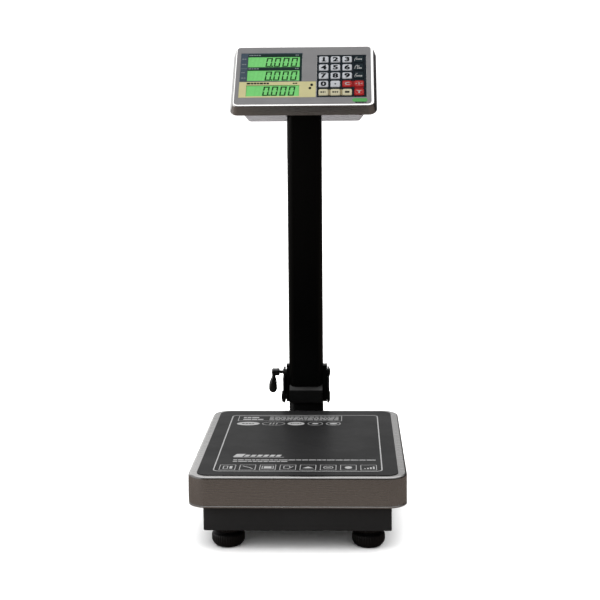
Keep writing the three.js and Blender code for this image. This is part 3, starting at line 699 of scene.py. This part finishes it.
# ---------- hinge and lever
def clamp_lever():
    """Cast lever: turned hub across the mast and a club-shaped handle blended into it."""
    low = node_box("clamp_lever")[0]
    bolt_low, bolt_high = node_box("clamp_bolt")
    _, y, z = (bolt_low + bolt_high) / 2
    profile = [(0.1, 44.4), (5.6, 44.4), (6.2, 45.0), (6.3, 48), (6.0, 51), (6.2, 54), (5.6, 56.2)]
    profile += [(4.2, 57.0), (0.1, 57.2)]
    hub = lathe("lever_hub", profile, 48, moved(0, y, z) @ Matrix.Rotation(-TAU / 4, 4, "Y"))
    drop = z - low.z
    sections = []
    for share, rx, ry in ((0.0, 3.4, 3.6), (0.1, 3.3, 3.5), (0.19, 2.9, 3.2), (0.26, 3.4, 3.6),
                          (0.34, 4.7, 4.4), (0.44, 5.7, 5.1), (0.56, 6.3, 5.6), (0.70, 6.7, 5.8),
                          (0.82, 6.7, 5.7), (0.91, 5.6, 4.9), (0.965, 3.9, 3.4), (1.0, 1.2, 1.2)):
        cx = -53.2 - 2.2 * min(1.0, share * 1.8)
        ring = [(cx + rx * math.cos(TAU * i / 40), y + ry * math.sin(TAU * i / 40)) for i in range(40)]
        sections.append((ring, z - drop * share))
    handle = loft("lever_handle", sections)
    piece = joined("lever", [hub, handle])
    blend = piece.modifiers.new("blend", "REMESH")
    blend.mode = "VOXEL"
    blend.voxel_size = 0.35 * MM
    soft = piece.modifiers.new("soft", "SMOOTH")
    soft.factor = 0.6
    soft.iterations = 8
    evaluated(piece, 60)
    return finish_piece(piece, LEVER_PAINT, "clamp_lever", "lever_paint", "clamp_lever")


# ---------- head
LABEL_SPLIT = 57.0               # top of the label's wide strip, up the slope
LABEL_RIGHT = -3.4               # right end of the label's tall field
WINDOW_U = (-91.5, -7.0)         # the three windows' ends
WINDOW_V = (23.0, 59.2, 92.0)    # their lower edges, up the slope
WINDOW_H = 25.8
KEY_HALF = 15.2 / 2              # half of a key cap's side
CAP_GAP = 0.35                   # between a cap and the key ground


def recesses():
    """Outlines (u0, u1, v0, v1) of the shallow beds for the label and the key panel."""
    gap = 0.25
    label_low, label_high = head_box("display_panel")
    pad_low, pad_high = head_box("keypad_frame")
    beds = ((label_low.x, LABEL_RIGHT, label_low.y, label_high.y),
            (LABEL_RIGHT - 2, label_high.x, label_low.y, LABEL_SPLIT),
            (pad_low.x, pad_high.x, pad_low.y, pad_high.y))
    return [(u0 - gap, u1 + gap, v0 - gap, v1 + gap) for u0, u1, v0, v1 in beds]


def subtract(piece, cutters, operation="DIFFERENCE"):
    """Cuts pieces out of another, or joins or intersects them, and removes them."""
    for cutter in cutters:
        cut = piece.modifiers.new("cut", "BOOLEAN")
        cut.operation = operation
        cut.solver = "EXACT"
        cut.object = cutter
    evaluated(piece, 32)
    for cutter in cutters:
        bpy.data.objects.remove(cutter)


def head_cover():
    """Pan with flaring walls and a fine rolled rim, cut for the label and the keypad."""
    r, rim = 9.0, 2.2

    def ring(grow, radius):
        return round_rect(-FACE_W / 2 - grow, FACE_W / 2 + grow, -grow, FACE_L + grow, radius, 10)

    sections = [(ring(-2.5 - 1.2, 5), -2.5), (ring(-2.5, 6), -3.7)]
    sections += [(ring(COVER_FLARE - 2.4, r + 1.6), -COVER_D), (ring(COVER_FLARE, r + 4), -COVER_D)]
    sections.append((ring(0.35, r + 0.4), -rim))
    for i in range(1, 9):
        a = TAU / 4 * i / 8
        grow = -rim * (1 - math.cos(a))
        sections.append((ring(0.35 + grow, r + 0.4 + grow), -rim * (1 - math.sin(a))))
    piece = loft("cover", sections, HEAD, 40)
    pad_low, pad_high = head_box("keypad_frame")
    openings = ((-94.5, -5, 21.5, 120), (pad_low.x + 1, pad_high.x - 1, pad_low.y + 1, pad_high.y - 1))
    cutters = [block("cutter", *opening, -8, 3) for opening in openings]
    cutters += [block("cutter", *bed, -1.5, 3) for bed in recesses()]
    subtract(piece, cutters)
    return finish_piece(piece, STEEL_COVER, "mast", "cover_steel", "head_cover")


def face_film():
    """Grey film over the face, inside the rolled rim, open at the label and the keypad."""
    low, high = head_box("face_film")
    outline = round_rect(low.x, high.x, low.y, high.y, 6)
    piece = loft("face_overlay", [(outline, low.z), (outline, high.z)], HEAD)
    subtract(piece, [block("cutter", *bed, -2, 3) for bed in recesses()])
    finish_piece(piece, FACE, "mast", "cover_film", "face_film")


def label():
    """Dark field with two windows above a wide strip with the third."""
    low, high = head_box("display_panel")

    def filled(x, y):
        return not (WINDOW_U[0] < x < WINDOW_U[1] and any(v < y < v + WINDOW_H for v in WINDOW_V))

    us = [low.x, *WINDOW_U]
    rows = [edge for v in WINDOW_V for edge in (v, v + WINDOW_H)]
    above = [v for v in rows if v > LABEL_SPLIT] + [LABEL_SPLIT, high.y]
    below = [v for v in rows if v < LABEL_SPLIT] + [low.y, LABEL_SPLIT - 0.02]
    upper = cell_plate("label_field", us + [LABEL_RIGHT], above, filled, low.z, high.z)
    lower = cell_plate("label_strip", us + [high.x], below, filled, low.z, high.z)
    for piece, look in ((upper, LABEL), (lower, BEIGE)):
        bevel(piece, 0.12)
        finish_piece(piece, look, "mast", "label_film")
    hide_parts("display_panel")


def label_print():
    """Rows of dashes in place of words round the windows, and a dark edge round the upper two."""
    low, high = head_box("display_panel")
    edge = Print(HEAD, high.z, 0.03)
    left, right = WINDOW_U[0] + 0.5, LABEL_RIGHT - 0.3
    for v in WINDOW_V[1:]:
        edge.bar(WINDOW_U[1], right, v - 0.5, v + WINDOW_H + 0.5)
    edge.bar(left, right, WINDOW_V[1] + WINDOW_H, WINDOW_V[2])
    edge.bar(left, right, WINDOW_V[2] + WINDOW_H, WINDOW_V[2] + WINDOW_H + 6.5)
    edge.done("label_edge", LABEL_EDGE, "mast", "label_film")
    light = Print(HEAD, high.z + 0.03, 0.03)
    for k, v in enumerate(WINDOW_V[1:]):
        top = v + WINDOW_H + 2.0
        dashes(light, -90, -71, top, top + 2.3, 31 + k, 0.8, (2, 5))
        dashes(light, -14.5, -8, top, top + 2.3, 35 + k, 0.8, (2, 3))
        for j, rise in enumerate((6, 19)):
            dashes(light, -101, -93.5, v + rise, v + rise + 2.0, 41 + k + 3 * j, 0.7, (2, 4))
    light.bar(low.x, WINDOW_U[0], WINDOW_V[2] - 3.5, WINDOW_V[2] - 2.9)
    light.done("label_print", LABEL_INK, "mast", "label_film")
    dark = Print(HEAD, high.z, 0.04)
    top = WINDOW_V[0] + WINDOW_H
    dashes(dark, -91, -55.5, top + 2.2, top + 6.2, 51, 0.9, (3, 6))
    dashes(dark, -17.5, -8, top + 2.6, top + 5.4, 52, 0.8, (2, 4))
    dark.ellipse(12.8, 48.8, 2.3, 3.0)
    dark.ellipse(10.2, 41.2, 2.2, 2.8)
    dark.done("label_marks", INK_DARK, "mast", "label_film")


def segments(ink, u, v, width, height, thick, lean, lit):
    """One seven-segment figure as slanted bars with mitred ends."""
    def at(x, y):
        return (u + x + lean * y, v + y)

    t, gap, mid = thick, 0.2, height / 2

    def across(y, lift):
        ends = ((gap, y), (t + gap, y + t * lift), (width - t - gap, y + t * lift), (width - gap, y))
        ink.outline([at(*p) for p in (ends if lift > 0 else reversed(ends))])

    def upright(x, y0, y1, side):
        ends = ((x, y0 + gap), (x + t * side, y0 + t + gap * 0.6), (x + t * side, y1 - t / 2), (x, y1 - gap))
        ink.outline([at(*p) for p in (reversed(ends) if side > 0 else ends)])

    if "a" in lit:
        across(height, -1)
    if "d" in lit:
        across(0, 1)
    if "g" in lit:
        left, right = t + gap, width - t - gap
        bar = ((gap + 0.6, mid), (left, mid - t / 2), (right, mid - t / 2),
               (width - gap - 0.6, mid), (right, mid + t / 2), (left, mid + t / 2))
        ink.outline([at(*p) for p in bar])
    for name, x, y0, y1, side in (("f", 0, mid, height, 1), ("b", width, mid, height, -1),
                                  ("e", 0, 0, mid, 1), ("c", width, 0, mid, -1)):
        if name in lit:
            upright(x, y0, y1, side)


def displays():
    """Three green glasses that show zeros, on one carrier."""
    low, high = head_box("lcd_module")
    carrier = block("lcd_carrier", low.x, high.x, low.y, high.y, low.z, low.z + 4)
    finish_piece(bevel(carrier, 0.3), BOARD, "mast", "lcd_glass")
    (u0, u1), gap = WINDOW_U, 0.3
    glasses = [block("glass", u0 + gap, u1 - gap, v + gap, v + WINDOW_H - gap, low.z + 4, high.z)
               for v in WINDOW_V]
    piece = joined("lcd_glasses", glasses)
    finish_piece(bevel(piece, 0.15), LCD, "mast", "lcd_glass", "lcd_module")
    lit, ghost = Print(HEAD, high.z, 0.05), Print(HEAD, high.z, 0.02)
    width, height, pitch, lean = 9.8, 21.6, 13.6, 0.11
    bar, ghost_bar, shown, places = 2.35, 2.6, 4, 6
    for v, right in zip(WINDOW_V, (-15.2, -12.6, -12.4)):
        base = v + (WINDOW_H - height) / 2 - 0.5
        for k in range(places):
            u = right - width - k * pitch
            if u < u0 + 1:
                continue
            if k < shown:
                segments(lit, u, base, width, height, bar, lean, "abcdef")
            else:
                segments(ghost, u, base, width, height, ghost_bar, lean, "abcdefg")
        dot = right - 3 * pitch + 1.7
        lit.ellipse(dot, base + 1.5, 1.4, 1.7, None, 16)
    lit.done("lcd_figures", SEGMENT, "mast", "lcd_glass")
    ghost.done("lcd_ghosts", GHOST, "mast", "lcd_glass")


def keypad_ground():
    """Film with a square opening round every key."""
    low, high = head_box("keypad_frame")
    half = KEY_HALF + CAP_GAP
    centres = [middle(*head_box(name)) for name in KEY_NODES]
    us, vs = zip(*centres)

    def edges(ends, places):
        return {round(x, 2) for x in [*ends, *(c + s * half for c in places for s in (-1, 1))]}

    def filled(x, y):
        return not any(abs(x - cx) < half and abs(y - cy) < half for cx, cy in centres)

    us, vs = edges((low.x, high.x), us), edges((low.y, high.y), vs)
    piece = cell_plate("keypad_ground", us, vs, filled, low.z, high.z)
    finish_piece(bevel(piece, 0.12), GROUND, "mast", "key_ground", "keypad_frame")
    red, brown = Print(HEAD, high.z, 0.03), Print(HEAD, high.z, 0.03)
    for ink, first, second in ((red, "key_clear", "key_zero"), (red, "key_tare", "key_zero"),
                               (brown, "key_memory", "key_recall"), (brown, "key_recall", "key_add")):
        (x0, y0), (x1, y1) = middle(*head_box(first)), middle(*head_box(second))
        if abs(y0 - y1) < 1:
            ink.bar(x0 + half, x1 - half, y0 - half * 0.85, y0 + half * 0.85)
        else:
            ink.bar(x0 - half * 0.85, x0 + half * 0.85, y0 + half, y1 - half)
    red.done("key_gap_red", RED_FILM, "mast", "key_ground")
    brown.done("key_gap_brown", BROWN, "mast", "key_ground")


DIGITS = {"key_%d" % n: str(n) for n in range(10)}
LEGENDS = {**DIGITS, "key_clear": "C", "key_tare": "T"}
KEY_NODES = [n for n in NODES if n.startswith("key_")]


def key_look(name):
    """Material and slot of a key."""
    if name in DIGITS or name == "key_point":
        return KEY_GREY, "key_grey"
    if name in ("key_clear", "key_zero", "key_tare"):
        return KEY_RED, "key_red"
    if name in ("key_memory", "key_recall", "key_add"):
        return KEY_BEIGE, "key_beige"
    return KEY_DARK, "key_dark"


def legend_text(name, text, place, size):
    """A bold wide figure as thin raised ink."""
    curve = bpy.data.curves.new(name, "FONT")
    curve.body = text
    curve.size = size * MM
    curve.extrude = 0.04 * MM
    curve.offset = 0.034 * size * MM
    curve.align_x = "CENTER"
    curve.align_y = "CENTER"
    curve.resolution_u = 6
    made = linked(name, curve)
    bpy.context.view_layer.update()
    graph = bpy.context.evaluated_depsgraph_get()
    mesh = bpy.data.meshes.new_from_object(made.evaluated_get(graph))
    bpy.data.objects.remove(made)
    mesh.transform(Matrix.Diagonal((1.2, 1.0, 1.0, 1.0)))
    xs, ys = ([v.co[k] for v in mesh.vertices] for k in (0, 1))
    centre = Vector(((min(xs) + max(xs)) / 2, (min(ys) + max(ys)) / 2, 0))
    mesh.transform(place @ Matrix.Translation(-centre))
    pieces = []
    for k, shift in enumerate((-0.35, 0.0, 0.35)):
        copy = mesh.copy()
        copy.transform(place @ moved(shift, 0, 0.004 * k) @ place.inverted())
        pieces.append(linked(f"{name}_{k}", copy))
    bpy.data.meshes.remove(mesh)
    return joined(name, pieces)


def key_sign(name, u, v, w, *finish):
    """Bars and simple signs on the keys that have no figure, and a painted highlight arc on the dark keys.
    """
    ink = Print(HEAD, w, 0.05)
    if name == "key_point":
        ink.ellipse(u, v - 0.5, 1.5, 1.5)
    elif name == "key_zero":
        ink.ellipse(u, v, 1.8, 2.6, 0.85)
        for s in (-1, 1):
            ink.outline([(u + s * 5.0, v + 1.5 * s), (u + s * 5.0, v - 1.5 * s), (u + s * 2.7, v)])
    elif name in ("key_memory", "key_recall"):
        ink.bar(u - 4.6, u - 1.6, v - 1.6, v + 1.6)
        ink.bar(u - 0.8, u + 1.4, v - 1.6, v + 1.6)
        ink.bar(u + 2.4, u + (4.6 if name == "key_recall" else 3.4), v - 1.6, v + 1.6)
    elif name == "key_add":
        ink.frame(u - 3.6, u + 3.6, v - 2.2, v + 2.2, 0.8, 2.1)
    else:
        rows = {"key_print": ((-4, 5.8, -0.4),), "key_mode": ((-3, 3, 2.2), (-3, 5.8, -2.6)),
                "key_price": ((-4, 5.8, -1.6),)}[name]
        for k, (a, b, rise) in enumerate(rows):
            dashes(ink, u + a, u + b, v + rise - 1.5, v + rise + 1.5, 60 + k, 0.6, (1.4, 2.6))
        # painted highlight: a light arc of white ink up the left of each dark key stands in for light
        # glinting on its crown; the dashes above are print
        turns = (0.0, 0.35, 0.7, 1.05, 1.4)
        highlight_arc = [(u - 6.8 + 5.5 * (1 - math.cos(t)), v - 4.5 + 9.5 * math.sin(t)) for t in turns]
        for (xa, ya), (xb, yb) in zip(highlight_arc, highlight_arc[1:]):
            ink.stroke(xa, ya, xb, yb, 0.9)
    ink.done(name + "_sign", *finish)


def keys():
    """Square caps with crowned tops and printed signs; the dark keys also get a painted highlight arc."""
    for name in KEY_NODES:
        low, high = head_box(name)
        (u, v), top, half = middle(low, high), high.z, KEY_HALF

        def ring(e):
            r = max(2.4 - e * 0.5, 0.6)
            return round_rect(u - half + e, u + half - e, v - half + e, v + half - e, r, 6)

        flange = (high.x - low.x) / 2
        edge = round_rect(u - flange, u + flange, v - flange, v + flange, 1.5, 6)
        sections = [(edge, low.z), (edge, low.z + 1.1), (ring(0), low.z + 1.1), (ring(0), top - 0.95)]
        sections += [(ring(0.12), top - 0.62), (ring(0.42), top - 0.32), (ring(0.95), top - 0.12)]
        sections += [(ring(2.0), top - 0.03), (ring(3.6), top)]
        look, slot = key_look(name)
        cap = loft("cap_" + name, sections, HEAD, 38)
        finish_piece(cap, look, name, slot, name)
        ink = INK_DARK if slot in ("key_grey", "key_beige") else WHITE_INK_AND_HIGHLIGHT
        if name in LEGENDS:
            size = 14.0 if name in DIGITS else 8.5
            sign = legend_text("sign_" + name, LEGENDS[name], HEAD @ moved(u, v, top + 0.02), size)
            finish_piece(sign, ink, name, slot)
        else:
            key_sign(name, u, v, top, ink, name, slot)
        if name == "key_1":
            base = Print(HEAD, top, 0.05)
            base.bar(u - 3.7, u + 3.9, v - 5.0, v - 3.3)
            base.done("sign_key_1_base", INK_DARK, name, slot)
        if slot == "key_red":
            oval = Print(HEAD, top, 0.05)
            oval.ellipse(u, v, 6.6, 5.2, 0.5)
            oval.done("oval_" + name, INK_RED, name, slot)


def badge():
    """Plain green plate and a dark bar near the lower right corner of the face."""
    top = head_box("face_film")[1].z
    green = Print(HEAD, top, 0.12)
    green.outline(round_rect(77.4, 101.2, 8.6, 16.8, 3.9))
    green.done("badge", GREEN, "mast", "cover_film")
    dark = Print(HEAD, top, 0.1)
    dashes(dark, 82, 99.5, 5.9, 8.3, 71, 0.6, (3, 6))
    dashes(dark, 80, 98.5, 11.2, 14.2, 72, 0.8, (2, 4))
    dark.done("badge_bar", INK_DARK, "mast", "cover_film")


SLOT_HALF = 28.4                 # half of the width of the slot in front of the mast
LINING = 1.5                     # thickness of its lining
INSET = 0.1                      # how far the lining stays inside the case's own faces
CASE_SLOPE = 17.0                # height of the case walls' sloping lower part


def mast_slot(grow, w_top):
    """Block in front of the mast's upper end, open below, with a top parallel to the head's face."""
    start = HEAD.translation / MM
    mast_top = [v.co.y / MM for v in NODES["mast"].data.vertices if v.co.z / MM > start.z - 100]
    front, back = min(mast_top) - 60, min(mast_top) + 11
    half = SLOT_HALF + grow
    corners = []
    for is_top in (False, True):
        for x, y in ((-half, front), (half, front), (half, back), (-half, back)):
            top = start.z + math.tan(TILT) * (y - start.y) + w_top / math.cos(TILT)
            corners.append((x, y, top if is_top else start.z - 120))
    faces = [(3, 2, 1, 0), (4, 5, 6, 7)] + [(i, (i + 1) % 4, 4 + (i + 1) % 4, 4 + i) for i in range(4)]
    return new_object("mast_slot", corners, faces)


def case_block(low, high):
    """Block between the case's floor and its plate, just inside the tub's sloping front wall."""
    inverse = HEAD.inverted()
    points = [(inverse @ v.co) / MM for v in NODES["lower_case"].data.vertices]
    wall = min(p.y for p in points if p.z < -COVER_D - 1) + INSET
    foot = min(p.y for p in points if p.z < low.z + 1) + INSET
    floor, top = low.z + INSET, -COVER_D - INSET
    outline = [(foot, floor), (high.y, floor), (high.y, top), (wall, top), (wall, low.z + CASE_SLOPE)]
    corners = [(u, v, w) for u in (-60, 60) for v, w in outline]
    n = len(outline)
    faces = [tuple(range(n)), tuple(range(2 * n - 1, n - 1, -1))]
    faces += [(i, i + n, (i + 1) % n + n, (i + 1) % n) for i in range(n)]
    return new_object("case_block", corners, faces, HEAD)


def case_shell():
    """The back case: side walls drawn out to the cover, and a lined slot in front of the mast."""
    mesh = NODES["lower_case"].data.copy()
    piece = linked("case_shell", mesh)
    low, high = head_box("lower_case")
    inverse = HEAD.inverted()
    wall, plate_edge, out_top, out_floor = 80.0, 99.0, 3.4, 1.8
    for vert in mesh.vertices:
        point = (inverse @ vert.co) / MM
        if wall < abs(point.x) < plate_edge:
            floor_share = max(0.0, 1 - (point.z - low.z) / CASE_SLOPE)
            point.x += math.copysign(out_top - (out_top - out_floor) * floor_share, point.x)
            vert.co = HEAD @ (point * MM)
    weld(piece)
    evaluated(piece, 35)
    lining = mast_slot(LINING, -COVER_D - INSET)
    subtract(lining, [case_block(low, high)], "INTERSECT")
    subtract(piece, [lining], "UNION")
    subtract(piece, [mast_slot(0, -COVER_D - INSET - LINING)])
    flatten(piece)
    bevel(piece, 0.9)
    return finish_piece(piece, CASE, "mast", "case_plastic", "lower_case")


def case_details():
    """Screws at the back plate's corners."""
    profile = [(3.0, -0.4), (3.6, 0), (3.5, 0.7), (2.8, 1.5), (1.6, 1.9), (1.2, 1.9), (1.1, 1.1), (0.1, 1.0)]
    turn = Matrix.Rotation(math.pi, 4, "X")
    places = [HEAD @ moved(u, v, -COVER_D) @ turn for u in (-102, 102) for v in (8, 132)]
    screws("case_screw", profile, places, "mast")


# ---------- stage, light, camera
def plane(name, corners, material):
    """One flat face of the stage, with corners in metres."""
    mesh = bpy.data.meshes.new(name)
    mesh.from_pydata(corners, [], [(0, 1, 2, 3)])
    made = linked(name, mesh)
    mesh.materials.append(material)
    return made


def upright(name, x0, y0, x1, y1, z0, z1, material):
    """An upright plane between two points of the floor."""
    return plane(name, [(x0, y0, z0), (x1, y1, z0), (x1, y1, z1), (x0, y0, z1)], material)


def card(name, x0, y0, x1, y1, height, strength):
    """An upright card that only reflections see."""
    look = Nodes(name, (0.03, 0.027, 0.024), 0.9, 0.0, 0.0)
    look.emit(strength)
    made = upright(name, x0, y0, x1, y1, 0.0, height, look.material)
    made.visible_camera = made.visible_shadow = made.visible_diffuse = False


def stage():
    """White floor and backdrop for the eye, a darker floor for bounce light, and the cards."""
    pale = Nodes("floor_pale", (0.94, 0.94, 0.94), 0.9, 0.0, 0.0).material
    white = Nodes("backdrop", (1, 1, 1), 1.0, 0.0, 0.0)
    white.emit(1.0)
    dim = Nodes("floor_dim", (0.285, 0.238, 0.208), 0.8, 0.0, 0.0).material
    half, radius, panels = 14.0, 13.5, 12
    corners = ((-half, -half), (half, -half), (half, half), (-half, half))
    floor = plane("floor", [(x, y, 0) for x, y in corners], pale)
    floor.visible_glossy = floor.visible_diffuse = False
    under = plane("floor_dim", [(x, y, -0.002) for x, y in corners], dim)
    under.visible_camera = False
    card("card_front", -2.0, -2.6, 2.6, -2.6, 2.2, 0)
    card("card_right", 2.6, -2.6, 2.6, 2.4, 1.5, 0)
    card("card_back_left", -2.6, 2.4, -0.5, 2.4, 2.0, 1.0)
    card("card_back", -0.5, 2.4, 0.62, 2.4, 2.0, 0.55)
    card("card_back_right", 0.62, 2.4, 2.6, 2.4, 2.0, 0.02)
    for k in range(panels):
        ends = [radius * f(TAU * i / panels) for i in (k, k + 1) for f in (math.cos, math.sin)]
        panel = upright(f"backdrop_{k}", *ends, -1, 9, white.material)
        panel.visible_diffuse = panel.visible_glossy = False
        panel.visible_transmission = panel.visible_shadow = False
    return floor


def sun(name, power, spread, tilt):
    """Wide light from above, tilted forwards or back."""
    data = bpy.data.lights.new(name, "SUN")
    data.energy = power
    data.angle = math.radians(spread)
    made = linked(name, data)
    made.rotation_euler.x = math.radians(tilt)
    return made


def softbox(name, place, target, size, power):
    """Rectangular light turned towards a point."""
    data = bpy.data.lights.new(name, "AREA")
    data.shape = "RECTANGLE"
    data.size, data.size_y = size
    data.energy = power
    made = linked(name, data)
    made.location = place
    made.rotation_mode = "QUATERNION"
    made.rotation_quaternion = (Vector(target) - Vector(place)).to_track_quat("-Z", "Y")
    made.visible_camera = False
    return made


def aim(light, name, pieces, state="INCLUDE"):
    """Limits a light to some pieces, or keeps it off them."""
    group = bpy.data.collections.new(name)
    for k, piece in enumerate(pieces):
        group.objects.link(piece)
        group.collection_objects[k].light_linking.link_state = state
    light.light_linking.receiver_collection = group


def lights(floor, pan, polished, case):
    """Soft light from overhead, a tall softbox on the left and an even, fairly dim surround."""
    overhead = sun("overhead", 2.3, 80, -12)
    overhead.visible_glossy = False
    shine = sun("overhead_shine", 3.4, 80, -12)
    shine.visible_diffuse = False
    aim(shine, "polished", polished)
    aim(sun("floor_glow", 3.6, 110, 24), "only_floor", [floor])
    left = softbox("left", (-2.6, -0.3, 0.9), (0, 0, 0.3), (1.6, 1.8), 26)
    aim(left, "not_floor", [floor, pan], "EXCLUDE")
    edge = sun("edge_shine", 1.0, 80, -12)
    edge.visible_diffuse = False
    aim(edge, "only_tray", [pan])
    fill = softbox("case_fill", (-0.3, -0.9, 0.15), (0, 0.43, 0.6), (0.8, 0.5), 15)
    aim(fill, "only_case", case)
    world = bpy.data.worlds.new("studio")
    bpy.context.scene.world = world
    world.use_nodes = True
    background = world.node_tree.nodes["Background"]
    background.inputs["Color"].default_value = (1, 1, 1, 1)
    background.inputs["Strength"].default_value = 0.37
    bpy.context.scene.view_settings.view_transform = "Standard"


def camera():
    """The eye is right of centre, above the mast's middle, and looks slightly left and down."""
    aside, away, above = 71.8, 1737.0, 496.3
    eye = Vector((aside, FRONT - away, TOP + above)) * MM
    yaw, dip, roll = (math.radians(a) for a in (-2.15, 8.35, -0.47))
    ahead = Vector((math.sin(yaw) * math.cos(dip), math.cos(yaw) * math.cos(dip), -math.sin(dip)))
    right = Vector((math.cos(yaw), -math.sin(yaw), 0))
    up = right.cross(ahead)
    x = math.cos(roll) * right + math.sin(roll) * up
    y = math.cos(roll) * up - math.sin(roll) * right
    data = bpy.data.cameras.new("eye")
    data.sensor_width = 36
    data.lens = 79.65
    made = linked("eye", data)
    turn = Matrix((x, y, -ahead)).transposed().to_4x4()
    made.matrix_world = Matrix.Translation(eye) @ turn
    bpy.context.scene.camera = made


# ---------- everything
pan = tray()
sheet()
sheet_print()
for number in range(1, 5):
    foot(number)
    lock_nut(number)
    paint(f"bumper_{number}", RUBBER, 0.5)
base_details()
lever = clamp_lever()
cover = head_cover()
face_film()
label()
label_print()
displays()
keypad_ground()
keys()
badge()
case_details()

paint("mast", MAST_PAINT, 0.5)
paint("mast_stub", MAST_PAINT, 0.5)
hinge = paint("hinge_bracket", HINGE_PAINT, 0.5)
case = [case_shell(), paint("battery_door", CASE, 0.3, 15)]
KEPT = (
    ("pivot_bolt", BLACK_STEEL, 0.35), ("pivot_nut", BLACK_STEEL, 0.35), ("clamp_bolt", BLACK_STEEL, 0.35),
    ("base_frame", BASE_PAINT, 0.7), ("base_crossbeam", ZINC, 0.6), ("load_frame", ZINC, 0.8),
    ("load_cell", ALLOY, 0.4), ("bubble_level", VIAL, 0.4), ("battery", BATTERY, 0.8),
    ("main_board", BOARD, 0.1), ("keypad_board", BOARD, 0.1),
    ("power_switch", SWITCH, 0.4), ("charge_socket", SWITCH, 0.2),
    ("cell_cable_base", RUBBER, 0.0), ("cell_cable_mast", RUBBER, 0.0),
)
for node, look, width in KEPT:
    paint(node, look, width)

lights(stage(), pan, [cover, lever, hinge], case)
camera()
